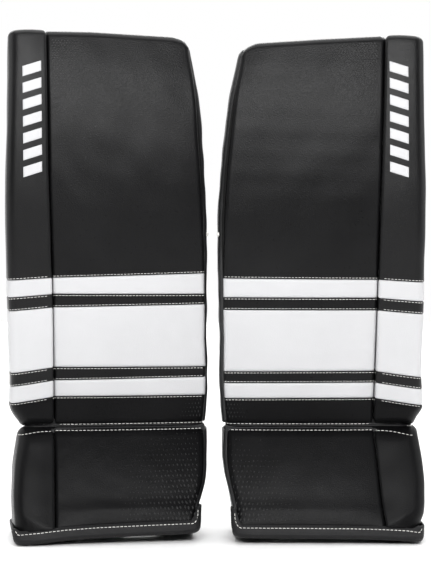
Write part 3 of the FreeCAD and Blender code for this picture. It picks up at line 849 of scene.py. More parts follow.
def ankle_strip(seed):
    """The gusset in the groove: a folded strip of leather between shin and boot."""
    fold = straight([(138.5, 4.0), (141.5, 5.2), (144.2, 6.0), (145.8, 4.6), (147.2, 3.4),
                     (148.8, 4.4), (150.6, 5.6), (153.5, 5.2), (156.5, 4.4)])
    z = np.linspace(138.5, 156.5, 19)[:, None]
    left, right = float(outer_x(150)) + 3.0, float(inner_x(152)) - 4.0
    x = np.linspace(left, right, 90)[None, :] + 0 * z
    from_end = np.minimum(x - left, right - x)
    y = fold(z) + 7 * np.clip(1 - from_end / 14, 0, 1) ** 2 + 0.5 * ripple(x, z, seed, 20)
    return shell(np.stack([x, y, z + 0 * x], axis=-1), 1.6)


# ---- thread, bumps and tape ----
def surface_tree(forms):
    """What lines of stitching are laid on."""
    whole = total(forms)
    return BVHTree.FromPolygons([tuple(p) for p in whole.points], whole.faces)


def lay(tree, points, way=(0, 1, 0)):
    """Each point moved along way onto the surface, with the surface's normal there."""
    way = Vector(way)
    found = []
    for p in points:
        place, normal, _, _ = tree.ray_cast(Vector(p) - way * 260.0, way)
        if place is not None:
            found.append((np.array(place), np.array(-normal if normal.dot(way) > 0 else normal)))
    return found


def stitch(centre, tangent, normal, length, radius):
    """One stitch: a short thread that dips into the leather at both ends."""
    across = unit_vectors(np.cross(normal, tangent))
    rings = []
    for q, size, sink in ((-1, 0.35, 0.9), (-0.8, 0.9, 0.1), (-0.3, 1, -0.3), (0.3, 1, -0.3),
                          (0.8, 0.9, 0.1), (1, 0.35, 0.9)):
        middle = centre + tangent * q * length / 2 - normal * sink * radius
        rings.append([middle + radius * size * (across * math.cos(a) + normal * math.sin(a))
                      for a in around(6)])
    return outward(loft(rings))


def stitches(found, pitch=5.2, length=4.1, radius=0.5):
    """A row of stitches along laid points."""
    if len(found) < 3:
        return []
    line = np.array([np.concatenate([p, n]) for p, n in found])
    run = distances(line[:, :3])
    count = max(1, int(run[-1] / pitch))
    made = []
    for k in range(count):
        middle = (k + 0.5) * run[-1] / count
        before, here, after = points_at(line, run, middle + np.array([-0.5, 0, 0.5]) * length)
        tangent = after[:3] - before[:3]
        size = np.linalg.norm(tangent)
        if size >= length * 0.6:
            made.append(stitch(here[:3], tangent / size, unit_vectors(here[3:]), length, radius))
    return made


def bead(centre, normal, up, long, wide, high):
    """A small raised dash pressed into the leather."""
    across = unit_vectors(np.cross(normal, up))
    up = np.cross(across, normal)
    rings = []
    for size, lift in ((1.0, -0.35), (0.92, 0.35), (0.62, 0.85), (0.2, 1.0)):
        rings.append([centre + across * size * wide / 2 * math.cos(a)
                      + up * size * long / 2 * math.sin(a) + normal * lift * high
                      for a in around(8)])
    return outward(loft(rings))


def beads(tree, spots, long, wide, high):
    """Raised dashes at (x, z, share of full size, lean in degrees)."""
    made = []
    for x, z, share, lean in spots:
        for place, normal in lay(tree, [(x, 0, z)]):
            up = np.array([math.sin(math.radians(lean)), 0, math.cos(math.radians(lean))])
            made.append(bead(place, normal, up, long * share, wide * share, high * share))
    return total(made)


def sweep(path, normals, section, closed=False):
    """A tube of the given (out, up) section along a path; up is the path's own normal."""
    path, section = np.asarray(path, float), np.asarray(section, float)
    if closed:
        tangent = np.roll(path, -1, axis=0) - np.roll(path, 1, axis=0)
    else:
        tangent = np.gradient(path, axis=0)
    tangent = unit_vectors(tangent)
    out = unit_vectors(np.cross(tangent, normals))
    up = np.cross(out, tangent)
    rings = (path[:, None, :] + section[None, :, 0, None] * out[:, None, :]
             + section[None, :, 1, None] * up[:, None, :])
    n, m, _ = rings.shape
    form = Form(rings, grid_faces(n, m, closed=True, ring=True)) if closed else loft(rings)
    form.weave = np.column_stack([np.tile(section[:, 0], n), np.repeat(distances(path), m)])
    return outward(form)


def band(points, outwards, wide, thick, soft=0.42, closed=False):
    """A flat strap with soft edges along channel-frame points."""
    points = channel(points)
    section = rounded_loop(oblong(-wide / 2, wide / 2, -thick / 2, thick / 2),
                           [thick * soft] * 4, arc=4, edge=7)
    return sweep(points, channel(outwards) - points, section, closed)


# ---- flaps ----
class Flap:
    """A padded flap that stands upright along a channel-frame path.

    Its two faces are sewn at the edge and along channels, at heights on the flap.
    """

    def __init__(self, path, bottom, top, bend, thick, corner=14.0, edge_thick=4.0, channels=()):
        self.line = rounded_path(path, bend, 1.0)
        self.run = distances(self.line)
        self.long, self.bottom, self.top = self.run[-1], bottom, top
        self.thick, self.corner, self.edge_thick = thick, corner, edge_thick
        self.channels = channels

    def at(self, s, h, out=0.0):
        """The point at s along and h up, moved out of the middle surface."""
        s = np.asarray(s, float)
        (x, b), (x1, b1), (x0, b0) = ([np.interp(q, self.run, column) for column in self.line.T]
                                      for q in (s, s + 1.5, s - 1.5))
        tx, tb = x1 - x0, b1 - b0
        size = np.maximum(np.hypot(tx, tb), 1e-9)
        return channel(np.stack([x - tb / size * out, b + tx / size * out, h + 0 * x], axis=-1))

    def form(self):
        """The flap's two faces, and which of their points are sewn down."""
        tall = self.top - self.bottom
        s, t = np.meshgrid(graded(self.long, 8, 1.4, 4.0), graded(tall, 8, 1.4, 4.0) / tall)
        e = np.clip(self.corner - np.minimum(s, self.long - s), 0, self.corner)
        pull = self.corner - np.sqrt(np.clip(self.corner**2 - e**2, 0, None))
        low, high = self.bottom + pull, self.top - pull
        h = low + t * (tall - 2 * pull)
        edge = np.minimum(np.minimum(s, self.long - s), np.minimum(h - low, high - h))
        fill = np.clip(edge / 16.0, 0, 1)
        fill = np.sqrt(fill * (2 - fill))
        pinned = np.zeros(s.shape, bool)
        pinned[[0, 1, -2, -1], :] = True
        pinned[:, [0, 1, -2, -1]] = True
        for q in self.channels:
            fill = fill * (1 - 0.8 * np.exp(-((h - q) / 3.2) ** 2))
            pinned |= np.abs(h - q) < 2.4
        half = self.edge_thick / 2 + (self.thick - self.edge_thick) / 2 * fill
        faces = grid_faces(*s.shape)
        count = s.size
        faces = ([tuple(reversed(f)) for f in faces]
                 + [tuple(count + i for i in f) for f in faces])
        rim = [i * s.shape[1] + j for i, j in rim_of(*s.shape)]
        faces += [(a, b, count + b, count + a) for a, b in zip(rim, rim[1:] + rim[:1])]
        weave = np.stack([s, h], axis=-1).reshape(-1, 2)
        points = np.stack([self.at(s, h, half), self.at(s, h, -half)])
        return outward(Form(points, faces, np.tile(weave, (2, 1)))), np.tile(pinned.ravel(), 2)

    def border(self, inset):
        """The flap's outline in (s, h), all the way round."""
        return rounded_loop(oblong(inset, self.long - inset, self.bottom + inset,
                                   self.top - inset),
                            [max(self.corner - inset, 1.0)] * 4, arc=9, edge=60)

    def binding(self):
        """Tape folded over the flap's edge."""
        s, h = self.border(2.75).T
        path = self.at(s, h)
        half = self.edge_thick / 2 + 0.9
        section = rounded_loop(oblong(-3.75, 3.75, -half, half), [1.4] * 4, arc=5, edge=2)
        return sweep(path, self.at(s, h, 1.0) - path, section, closed=True)

    def thread(self, loop, side, lift, pitch=4.6):
        """Stitches along (s, h) points, on one face."""
        s, h = resample(np.asarray(loop, float), 1.5).T
        path = self.at(s, h, side * lift)
        outwards = self.at(s, h, side * (lift + 1)) - path
        return stitches(list(zip(path, outwards)), pitch=pitch, length=3.4, radius=0.42)


SWELL_FRAMES = 20


def puff(form, pinned, cap):
    """Swells a sewn form as filled cloth. Its points move at most cap mm."""
    scene = bpy.context.scene
    mesh = bpy.data.meshes.new("puff")
    mesh.from_pydata((form.points * 0.001).tolist(), [], form.faces)
    obj = bpy.data.objects.new("puff", mesh)
    scene.collection.objects.link(obj)
    group = obj.vertex_groups.new(name="sewn")
    group.add([int(i) for i in np.flatnonzero(pinned)], 1.0, "REPLACE")
    cloth = obj.modifiers.new("cloth", "CLOTH")
    for name, value in {"vertex_group_mass": "sewn", "use_pressure": True,
                        "uniform_pressure_force": 4.0, "tension_stiffness": 12,
                        "compression_stiffness": 12, "bending_stiffness": 0.3}.items():
        setattr(cloth.settings, name, value)
    cloth.settings.effector_weights.gravity = 0
    cloth.point_cache.frame_start = 1
    cloth.point_cache.frame_end = SWELL_FRAMES
    for f in range(1, SWELL_FRAMES + 1):
        scene.frame_set(f)
    evaluated = obj.evaluated_get(bpy.context.evaluated_depsgraph_get())
    moved = np.zeros(len(mesh.vertices) * 3)
    evaluated.data.vertices.foreach_get("co", moved)
    bpy.data.objects.remove(obj)
    bpy.data.meshes.remove(mesh)
    scene.frame_set(1)
    shift = moved.reshape(-1, 3) * 1000 - form.points
    size = np.linalg.norm(shift, axis=1, keepdims=True)
    shift *= np.minimum(1, cap / np.maximum(size, 1e-9))
    shift[pinned] = 0
    return form.moved(shift)


# ---- materials ----
SOCKETS = {"colour": "Base Color", "rough": "Roughness", "metal": "Metallic",
           "specular": "Specular IOR Level", "sheen": "Sheen Weight",
           "sheen_rough": "Sheen Roughness", "normal": "Normal"}
SHEEN, SHEEN_ROUGH = 0.15, 0.5


def brighter(colour, factor, plus=0.0):
    return tuple(min(1.0, c * factor + plus) for c in colour)


class Finish:
    """A material and its nodes, with short ways to add them."""

    def __init__(self, name):
        self.material = bpy.data.materials.new(name)
        self.material.use_nodes = True
        self.tree = self.material.node_tree
        self.shader = self.tree.nodes["Principled BSDF"]
        self.place = self.add("TexCoord").outputs["Object"]

    def feed(self, socket, value):
        """A number, a colour or another node's output into a socket."""
        if isinstance(value, bpy.types.NodeSocket):
            self.tree.links.new(value, socket)
        else:
            socket.default_value = (*value, 1) if socket.type == "RGBA" else value

    def add(self, kind, inputs=None, **settings):
        node = self.tree.nodes.new("ShaderNode" + kind)
        for key, value in settings.items():
            setattr(node, key, value)
        for key, value in (inputs or {}).items():
            self.feed(node.inputs[key], value)
        return node

    def maths(self, operation, a, b=0.0):
        return self.add("Math", {0: a, 1: b}, operation=operation).outputs[0]

    def spread(self, value, low, high, to_low=0.0, to_high=1.0):
        return self.add("MapRange", {"Value": value, "From Min": low, "From Max": high,
                                     "To Min": to_low, "To Max": to_high}).outputs[0]

    def blend(self, share, a, b):
        return self.add("Mix", {"Factor": share, 6: a, 7: b}, data_type="RGBA").outputs[2]

    def noise(self, scale, detail=3.0):
        return self.add("TexNoise", {"Vector": self.place, "Scale": scale,
                                     "Detail": detail}).outputs[0]

    def lightened_edges(self, low, high, most=1.0):
        """How far a convex edge is made paler: rubbed wear on leather and woven cloth, a painted
        highlight on moulded plastic.
        """
        return self.spread(self.add("NewGeometry").outputs["Pointiness"], low, high, 0.0, most)

    def bump(self, height, depth, strength=1.0, over=None):
        inputs = {"Height": height, "Distance": depth, "Strength": strength}
        if over is not None:
            inputs["Normal"] = over
        return self.add("Bump", inputs).outputs[0]

    def set(self, **values):
        for key, value in values.items():
            self.feed(self.shader.inputs[SOCKETS[key]], value)
        return self.material


def leather(name, colour, rough=(0.27, 0.35), specular=0.35, cell=0.0012, depth=0.00022,
            wear=0.35, patch=0.35):
    """Coated synthetic leather: a fine pebble grain, soft patches and rubbed edges."""
    f = Finish(name)
    mottle = f.noise(70.0)
    light = brighter(colour, 1 + patch, 0.002)
    base = f.blend(f.spread(f.noise(9.0, 4.0), 0.3, 0.7), brighter(colour, 1 - patch / 2), light)
    base = f.blend(f.spread(mottle, 0.35, 0.75, 0.0, 0.18), base, light)
    lightened_edges = f.maths("MULTIPLY", f.lightened_edges(0.52, 0.60), f.spread(mottle, 0.3, 0.7, 0.3, 1.0))
    base = f.blend(f.maths("MULTIPLY", lightened_edges, wear), base, brighter(colour, 1.5, 0.012))
    cells = f.add("TexVoronoi", {"Vector": f.place, "Scale": 1 / cell, "Smoothness": 0.6},
                  feature="SMOOTH_F1").outputs["Distance"]
    grain = f.maths("ADD", cells, f.maths("MULTIPLY", f.noise(2600.0, 2.0), 0.35))
    return f.set(colour=base, rough=f.spread(f.noise(240.0), 0.3, 0.7, *rough),
                 specular=specular,
                 normal=f.bump(f.noise(38.0, 2.0), 0.0005, 0.3, f.bump(grain, depth, 0.8)))


def woven(name, colour, across, lengthways, depth, rough=(0.62, 0.8), by_place=False):
    """Woven nylon. Pitches are in metres; coordinates are the weave UVs, or x and z."""
    f = Finish(name)
    source = f.place if by_place else f.add("UVMap", uv_map="weave").outputs[0]
    parts = f.add("SeparateXYZ", {"Vector": source}).outputs
    u, v = parts[0], parts[2 if by_place else 1]

    def ridge(q, pitch):
        return f.maths("SINE", f.maths("MULTIPLY", q, 2 * math.pi / pitch))
    over = f.maths("MULTIPLY", ridge(u, across), ridge(v, lengthways))
    height = f.maths("ADD", over, f.maths("MULTIPLY", ridge(u, across / 2), 0.35))
    fuzz = f.noise(1900.0, 2.0)
    # Painted shade and highlight: the weave's low parts are coloured darker and its ridges lighter,
    # following the weave's relief.
    base = f.blend(f.spread(height, -1.2, 1.2), brighter(colour, 0.55),
                   brighter(colour, 1.5, 0.004))
    base = f.blend(f.spread(f.noise(22.0, 4.0), 0.3, 0.7, 0.0, 0.35), base, colour)
    base = f.blend(f.lightened_edges(0.53, 0.62, 0.4), base, brighter(colour, 1.8, 0.01))
    return f.set(sheen=SHEEN, sheen_rough=SHEEN_ROUGH, colour=base,
                 rough=f.spread(fuzz, 0.3, 0.7, *rough), specular=0.3,
                 normal=f.bump(fuzz, 0.0001, 0.4, f.bump(height, depth, 0.9)))


def moulded(name, colour):
    """Injection-moulded nylon plastic with a fine spark-eroded grain."""
    f = Finish(name)
    smears = f.noise(60.0, 4.0)
    base = f.blend(f.spread(smears, 0.3, 0.7), colour, brighter(colour, 1.4))
    # Painted highlight: the plastic's convex edges are coloured paler to stand in for light caught
    # on them.
    base = f.blend(f.lightened_edges(0.52, 0.62, 0.5), base, brighter(colour, 2.2, 0.01))
    return f.set(colour=base, rough=f.spread(smears, 0.3, 0.7, 0.3, 0.48), specular=0.5,
                 normal=f.bump(f.noise(1500.0), 0.00012, 0.5))


def nickel(name):
    f = Finish(name)
    scratches = f.noise(700.0, 4.0)
    base = f.blend(f.spread(f.noise(90.0), 0.4, 0.8), (0.66, 0.65, 0.62), (0.42, 0.40, 0.36))
    return f.set(colour=base, metal=1.0, rough=f.spread(scratches, 0.3, 0.7, 0.2, 0.42),
                 normal=f.bump(scratches, 0.00005, 0.5))


def yarn(name, colour):
    """Bonded sewing thread, twisted."""
    f = Finish(name)
    twist = f.add("TexWave", {"Vector": f.place, "Scale": 900.0, "Distortion": 1.5},
                  bands_direction="DIAGONAL").outputs["Fac"]
    base = f.blend(f.spread(f.noise(60.0, 4.0), 0.35, 0.7), colour, brighter(colour, 0.8))
    base = f.blend(f.maths("MULTIPLY", twist, 0.25), base, brighter(colour, 0.6))
    return f.set(colour=base, rough=f.spread(twist, 0.0, 1.0, 0.55, 0.7), specular=0.4,
                 normal=f.bump(twist, 0.0001, 0.6))


BLACK = leather("black_leather", (0.0030, 0.0030, 0.0033), specular=0.13, patch=0.3)
ROLL = leather("roll_leather", (0.0038, 0.0038, 0.0041), (0.29, 0.37), 0.18, cell=0.0010)
# Painted shade: darker, less reflective copies of the black and roll leather for the lower shin,
# the roll's foot and the boot, standing in for the weaker light there; the leather is the same all
# over.
SHADED_LOWER = leather("lower_leather", (0.0026, 0.0026, 0.0029), specular=0.07, patch=0.3)
SHADED_LOWER_ROLL = leather("lower_roll_leather", (0.0032, 0.0032, 0.0035), (0.29, 0.37), 0.08,
                     cell=0.0010)
# Painted highlight: a paler, shinier copy of the black leather for the inner side panels, standing
# in for the light caught along the pad's inner outline.
LIT_SIDE = leather("side_leather", (0.0065, 0.0065, 0.007), (0.36, 0.48), 0.5, patch=0.3)
WHITE = leather("white_leather", (0.51, 0.51, 0.52), (0.38, 0.5), depth=0.00012, wear=0.1,
                patch=0.03)
# Painted highlight: the raised dashes are coloured paler than the black leather they are pressed
# into, standing in for the light they catch.
HIGHLIT_DASH = leather("highlit_pressed_dashes", (0.010, 0.010, 0.0105), (0.27, 0.36), 0.36, cell=0.0006,
               depth=0.00008, patch=0.2)
BASE = leather("base_leather", (0.009, 0.009, 0.0095), (0.5, 0.62), 0.18, cell=0.0016,
               depth=0.0003)
FOAM = leather("foam_core", (0.004, 0.004, 0.004), (0.7, 0.85), 0.15)
NYLON = woven("lining_nylon", (0.016, 0.016, 0.017), 0.0014, 0.0014, 0.00018)
BACKING = woven("back_nylon", (0.018, 0.018, 0.019), 0.0016, 0.0016, 0.0002, by_place=True)
WEBBING = woven("webbing", (0.013, 0.013, 0.014), 0.0032, 0.0021, 0.00035)
ELASTIC = woven("elastic", (0.02, 0.02, 0.021), 0.0024, 0.0012, 0.0003, rough=(0.7, 0.85))
TAPE = woven("binding_tape", (0.012, 0.012, 0.013), 0.0011, 0.0011, 0.00015)
PLASTIC = moulded("buckle_plastic", (0.014, 0.014, 0.015))
METAL = nickel("eyelet_metal")
WHITE_THREAD = yarn("white_thread", (0.78, 0.77, 0.74))
BLACK_THREAD = yarn("black_thread", (0.05, 0.05, 0.052))
KNEE_FOAM = woven("knee_foam", (0.014, 0.014, 0.015), 0.0012, 0.0012, 0.00016)


# ---- stage ----
def in_scene(name, data, place=(0, 0, 0)):
    obj = bpy.data.objects.new(name, data)
    bpy.context.scene.collection.objects.link(obj)
    obj.location = place
    return obj


def camera():
    data = bpy.data.cameras.new("camera")
    data.sensor_width = 36.0
    data.lens = 118.96
    data.clip_end = 60.0
    obj = in_scene("camera", data, (0.0044, -2.6, 0.445))
    obj.rotation_euler = (math.radians(90 - 2.49), 0, 0)
    bpy.context.scene.camera = obj


def area_light(name, place, target, size, power):
    data = bpy.data.lights.new(name, "AREA")
    data.shape = "RECTANGLE"
    data.size, data.size_y = size
    data.energy = power
    obj = in_scene(name, data, place)
    way = Vector(target) - Vector(place)
    obj.rotation_euler = way.to_track_quat("-Z", "Y").to_euler()


def white_world():
    """White all round, dimmer towards the camera's side."""
    world = bpy.data.worlds.new("studio")
    bpy.context.scene.world = world
    world.use_nodes = True
    tree = world.node_tree
    background = tree.nodes["Background"]
    background.inputs[0].default_value = (1, 1, 1, 1)
    coords = tree.nodes.new("ShaderNodeTexCoord")
    split = tree.nodes.new("ShaderNodeSeparateXYZ")
    shade = tree.nodes.new("ShaderNodeMapRange")
    for key, value in (("From Min", -0.6), ("From Max", 0.4), ("To Min", 0.12), ("To Max", 1.0)):
        shade.inputs[key].default_value = value
    tree.links.new(coords.outputs["Generated"], split.inputs[0])
    tree.links.new(split.outputs[1], shade.inputs["Value"])
    tree.links.new(shade.outputs[0], background.inputs[1])


def white_floor():
    f = Finish("floor")
    speck = f.noise(30.0, 4.0)
    f.set(colour=f.blend(speck, (0.90, 0.90, 0.90), (0.93, 0.93, 0.93)),
          rough=f.spread(speck, 0.3, 0.7, 0.6, 0.75), specular=0.2,
          normal=f.bump(f.noise(220.0), 0.0002, 0.3))
    n, reach, back = 24, 12, 4.6
    points = [(x, y, 0.0) for y in np.linspace(-reach, back, n)
              for x in np.linspace(-reach, reach, n)]
    mesh = bpy.data.meshes.new("floor")
    mesh.from_pydata(points, [], grid_faces(n, n))
    mesh.materials.append(f.material)
    in_scene("floor", mesh)


bpy.context.scene.view_settings.view_transform = "Standard"
camera()
white_world()
area_light("over_camera", (0, -2.7, 1.84), (0, 0, 0.55), (2.6, 1.2), 104)
for light, light_x in (("left", -2.6), ("right", 2.6)):
    area_light(light, (light_x, 0.0, 1.2), (0, 0, 0.35), (1.0, 1.8), 12)
area_light("behind", (0, 3.6, 3.0), (0, 2.2, 0), (5.0, 2.0), 150)
area_light("above", (0, 0.0, 1.7), (0, 0.02, 0.6), (1.6, 0.8), 12)
white_floor()


# ---- the pads' fronts ----
FINE = {"pitch": 4.4, "length": 3.4, "radius": 0.36}
ROW_STEP = 1.5             # between the points that stitches are laid through
BARS, BAR_FOOT, BAR_PITCH, BAR_TALL, BAR_RISE = 7, 481.0, 22.0, 13.0, 0.32
BAR_LEFT, BAR_RIGHT, BAR_THICK = -112, -88, 0.7


def sewn_row(tree, x, z, way=(0, 1, 0), **size):
    """Stitches laid along points given by x and z, of which one may be a plain number."""
    x, z = np.broadcast_arrays(x, z)
    return stitches(lay(tree, np.column_stack([x, 0 * x, z]), way), **size)


def print_bars(tree):
    """A plain ladder of slanted bars printed on the outer roll."""
    forms = []
    for low in BAR_FOOT + BAR_PITCH * np.arange(BARS):
        x, up = np.meshgrid(np.linspace(BAR_LEFT, BAR_RIGHT, 9), np.linspace(0, BAR_TALL, 6))
        z = low + up + (x - BAR_LEFT) * BAR_RISE
        found = lay(tree, np.stack([x, 0 * x, z], axis=-1).reshape(-1, 3))
        grid = np.array([p + n * 0.45 for p, n in found]).reshape(*x.shape, 3)
        forms.append(outward(shell(grid, BAR_THICK)))
    return total(forms)


def front_threads(tree):
    """Rows of white stitching that show from the front."""
    white = []
    for k in range(6):
        off = 2.0 if k % 2 else -2.0
        x = np.arange(-73.0, 131, ROW_STEP)
        white += sewn_row(tree, x, face_edge(k)(x) + off, **FINE)
        x = np.arange(-133.0, -79, ROW_STEP)
        white += sewn_row(tree, x, roll_edge(k)(x, 0) + off, **FINE)
    x = np.arange(-70.0, 134, ROW_STEP)
    white += sewn_row(tree, x, LOW_EDGE + 2.2) + sewn_row(tree, x, BOOT_EDGE - 2.4)
    x = np.arange(-124.0, -74, ROW_STEP)
    droop = 5.5 * np.clip((-84 - x) / 36, 0, 1) ** 1.6
    return (white + sewn_row(tree, x, LOW_EDGE + 2.6 - droop * 0.7)
            + sewn_row(tree, x, BOOT_EDGE - 3.0 - droop))


def bumper_thread(tree):
    """Along the bumper's upper edge, curling up its two ears."""
    left, right = float(boot_outer_x(20)), float(boot_inner_x(20))
    middle = np.arange(left + 5, right - 10, ROW_STEP)
    x = np.concatenate([[left + 0.6, left + 1.8, left + 3.2], middle,
                        right - np.array([8, 6, 4.2, 3, 2.2, 1.8, 1.6])])
    z = np.concatenate([[19.5, 17.5, 15.5], np.full(len(middle), 14.3),
                        [14.8, 16.3, 18.8, 22, 26, 30.5, 35]])
    return sewn_row(tree, x, z + fit["toe"](x) * lip_share(z))


DASH_SEED = 31


def boot_dashes(strong):
    """Raised dashes that fade away from the boot's low inner corner."""
    rng = np.random.default_rng(DASH_SEED)
    spots = []
    for row in range(17):
        z = 31 + row * 6.6
        for column in range(25):
            x = 114 - column * 5.4 - (row % 2) * 2.7 + (z - 31) * 0.08
            far = math.hypot((115 - x) * 0.72, (z - 30) * 0.62)
            share = strong - far / 84 + rng.uniform(-0.08, 0.08)
            dx, dz, turn = rng.uniform(-0.7, 0.7, 3)
            if share > 0.25:
                spots.append((x + dx, z + dz, min(1, share), -8 + 14 * turn))
    return spots


def shin_dashes():
    spots = []
    for row in range(5):
        for column in range(7):
            share = 0.85 - column * 0.1 - row * 0.05
            if share > 0.2:
                spots.append((127 - column * 4.4 - (row % 2) * 2.2, 160 + row * 5.6, share, -4))
    return spots


def thigh_dashes(reach):
    """Small slanted dashes beside the roll's seam at the top of the thigh."""
    spots = []
    for row in range(34):
        z = 662 - row * 3.4
        for column in range(30):
            x = -72 + column * 4.1 + (row % 2) * 2.05
            share = 1.05 - math.hypot((x + 74) * 0.95, max(0, 645 - z) * 0.55) / reach
            if share > 0.3 and z < float(top_z(x)) - 7:
                spots.append((x, z, min(0.95, share), 58))
    return spots


def back_threads(tree):
    """Round the nylon back, from behind."""
    z, x = np.arange(164.0, 638, ROW_STEP), np.arange(-66.0, 98, ROW_STEP)
    made = []
    for row in ((seam_x(z) + 5.5, z), (inner_x(z) - 13.0, z), (x, 163.0),
                (x, top_z(x) - UNDER_HEM - 5.5)):
        made += sewn_row(tree, *row, way=(0, -1, 0), **FINE)
    return total(made)


KNOT_Z = 406.0


def edge_knot():
    """The tied-off end of thread at the inner side's seam, in front of the knee."""
    centre = np.array([float(inner_x(KNOT_Z)) + 0.2, float(face_y(KNOT_Z)) + 9.0, KNOT_Z])
    out = unit_vectors([1.0, -0.35, 0.0])
    made = []
    for a in np.radians([20, 80, 140]):
        way = unit_vectors([0.33 * math.cos(a), 0.94 * math.cos(a), math.sin(a)])
        made.append(stitch(centre, way, out, 6.0, 1.0))
    return total(made)


def build_front(side, seed, boot_share, thigh_reach):
    """The leather, rolls, boot, foam and thread of one pad, fitted to its own outline."""
    fit_to(side)
    surfaces = []

    def seen(name, form, *args):
        """A piece that stitches and dashes are laid on."""
        surfaces.append(form)
        piece(side, name, form, *args)

    edges = [lambda x: LOW_EDGE + 0 * x, *(face_edge(k) for k in range(6))]
    panels = (("shin_panel", SHADED_LOWER), ("white_band_low", WHITE), ("black_band_low", BLACK),
              ("white_band_wide", WHITE), ("black_band_high", BLACK), ("white_band_high", WHITE))
    for k, (name, material) in enumerate(panels):
        colour = "white" if material is WHITE else "black"
        seen(name, face_panel(edges[k], edges[k + 1], seed, (5, 2.0) if k else (9, 7.0)),
             "shin", material, colour + "_leather", [colour + "_bands"])
    upper = upper_face(seed)
    seen("thigh_and_knee_panel", upper, OVER_KNEE, BLACK, "black_leather",
         ["thigh_cover", "knee_panel"])
    piece(side, "inner_side_panel", inner_side(side_path(), face_y, back_y, seam_inset, seed + 3),
          OVER_KNEE, LIT_SIDE, "black_leather")
    lining = back_panel(seed + 4)
    panel = piece(side, "back_panel", lining, OVER_KNEE, BACKING, "lining_nylon",
                  ["shin_liner"])
    piece(side, "back_stitching", back_threads(surface_tree([lining, upper])), OVER_KNEE,
          BLACK_THREAD, "lining_nylon")
    piece(side, "edge_knot", edge_knot(), "shin", WHITE_THREAD, "white_leather")
    piece(side, "foam_core", foam_core(), OVER_KNEE, FOAM, "black_leather",
          ["shin_core", "thigh_core"], 0.9)

    low, r_low = shin_foot, 6.0
    for k, name in enumerate(("roll_foot", "roll_band_1", "roll_band_2", "roll_band_3",
                              "roll_band_4", "roll_band_5")):
        material = WHITE if k % 2 else ROLL if k else SHADED_LOWER_ROLL
        seen(name, roll_piece(low, roll_edge(k), r_low, 2.0, seed + 5), "shin", material,
             "white_leather" if k % 2 else "roll_leather", ["shin_roll"], 0.9)
        low, r_low = roll_edge(k), 2.0
    seen("roll_top", roll_piece(low, roll_crest, 2.0, 7.0, seed + 5, close=(4.0, 9.0, 14.0)),
         OVER_KNEE, ROLL, "roll_leather", ["thigh_roll"], 0.9)

    strip = piece(side, "ankle_gusset_strip", ankle_strip(seed + 6), OVER_ANKLE, BLACK,
                  "black_leather", ["ankle_gusset"])
    seen("boot_face", toe_sprung(boot_face(seed + 7)), "boot", SHADED_LOWER, "black_leather",
         ["boot_cover"])
    seen("boot_roll_cushion", toe_sprung(boot_roll(seed + 8)), "boot", SHADED_LOWER_ROLL,
         "roll_leather", ["boot_roll"], 0.95)
    piece(side, "boot_inner_side", toe_sprung(boot_side(seed + 9)), "boot", LIT_SIDE,
          "black_leather")
    piece(side, "boot_foam_block", toe_sprung(boot_block()), "boot", NYLON, "lining_nylon",
          ["boot_core"], 0.95)
    seen("boot_bumper", toe_sprung(bumper(seed + 10)), "boot", BASE, "base_leather",
         ["boot_base"])
    piece(side, "sole_block", toe_sprung(sole_block()), "boot", BASE, "base_leather",
          ["boot_base"])

    tree = surface_tree(surfaces)
    on_shin, on_boot = [], []
    for thread in front_threads(tree):
        (on_shin if thread.points[:, 2].mean() > ANKLE_Z else on_boot).append(thread)
    for body, forms in (("shin", on_shin), ("boot", on_boot + bumper_thread(tree))):
        piece(side, body + "_stitching", total(forms), body, WHITE_THREAD, "white_leather")
    for body, form in (("boot", beads(tree, boot_dashes(boot_share), 5.4, 2.4, 0.95)),
                       ("shin", beads(tree, shin_dashes(), 4.6, 1.6, 0.45)),
                       ("thigh", beads(tree, thigh_dashes(thigh_reach), 3.4, 1.3, 0.4))):
        piece(side, body + "_dashes", form, body, HIGHLIT_DASH, "black_leather")
    piece(side, "roll_bars", print_bars(tree), "thigh", WHITE, "white_leather")


build_front("right", 100, 1.1, 62)
build_front("left", 200, 0.98, 88)


# ---- the back: pillow, knee blocks, wraps and straps ----
WRAP_BOTTOM, WRAP_TOP, WING_BOTTOM, WING_TOP = 28.0, 178.0, 192.0, 268.0
WRAP_THICK, WRAP_BEND, WRAP_SWELL, PILLOW_SWELL = 10.0, 45.0, 2.4, 2.6
OUTER_WRAP = [(-87, 9), (-90, 78), (-33, 116)]
INNER_WRAP = [(86, 9), (88, 76), (42, 112)]
KNEE_WING = [(-87, 9), (-90, 70), (-62, 100)]
BOOT_STRAP = [(76, -4.0), (92, 58), (52, 118), (-48, 124), (-97, 88), (-93, 60)]
WEB_THICK, WOVEN_THICK, WEB_WIDTH, KNEE_WEB_WIDTH, WEB_CLEAR = 2.2, 1.98, 25.0, 38.0, 0.6
STRAP_START_B, WEB_TO_CLIP, WING_OVERHANG = 46.0, 22.0, 8.0
STRAP_HEIGHTS = {"lower": 62.0, "upper": 142.0}
KNEE_HEIGHT, BOOT_STRAP_HEIGHT = 230.0, -31.5
CLIP_BAR, PRONG_LONG, BUCKLE_APART, BUCKLE_LONG, BUCKLE_THICK = 13.8, 16.0, 1.5, 24.0, 8.0
BOOT_TAB_LONG, LAYER_GAP = 10.5, 0.2
STRAP_OFF = WRAP_THICK / 2 + WEB_CLEAR + WEB_THICK / 2      # a strap off its flap's middle
TAIL_LIFT = 2.9            # a strap's free tail off the strap's own middle
BLOCK_THICK, BLOCK_STEP, BLOCKS = 20.3, 20.7, 3
BLOCK_X, PILLOW_HALF, PILLOW_THICK = (35.0, 105.0), 60.0, 13.6
DEPTHWAYS = np.array([0, math.cos(LEAN), math.sin(LEAN)])


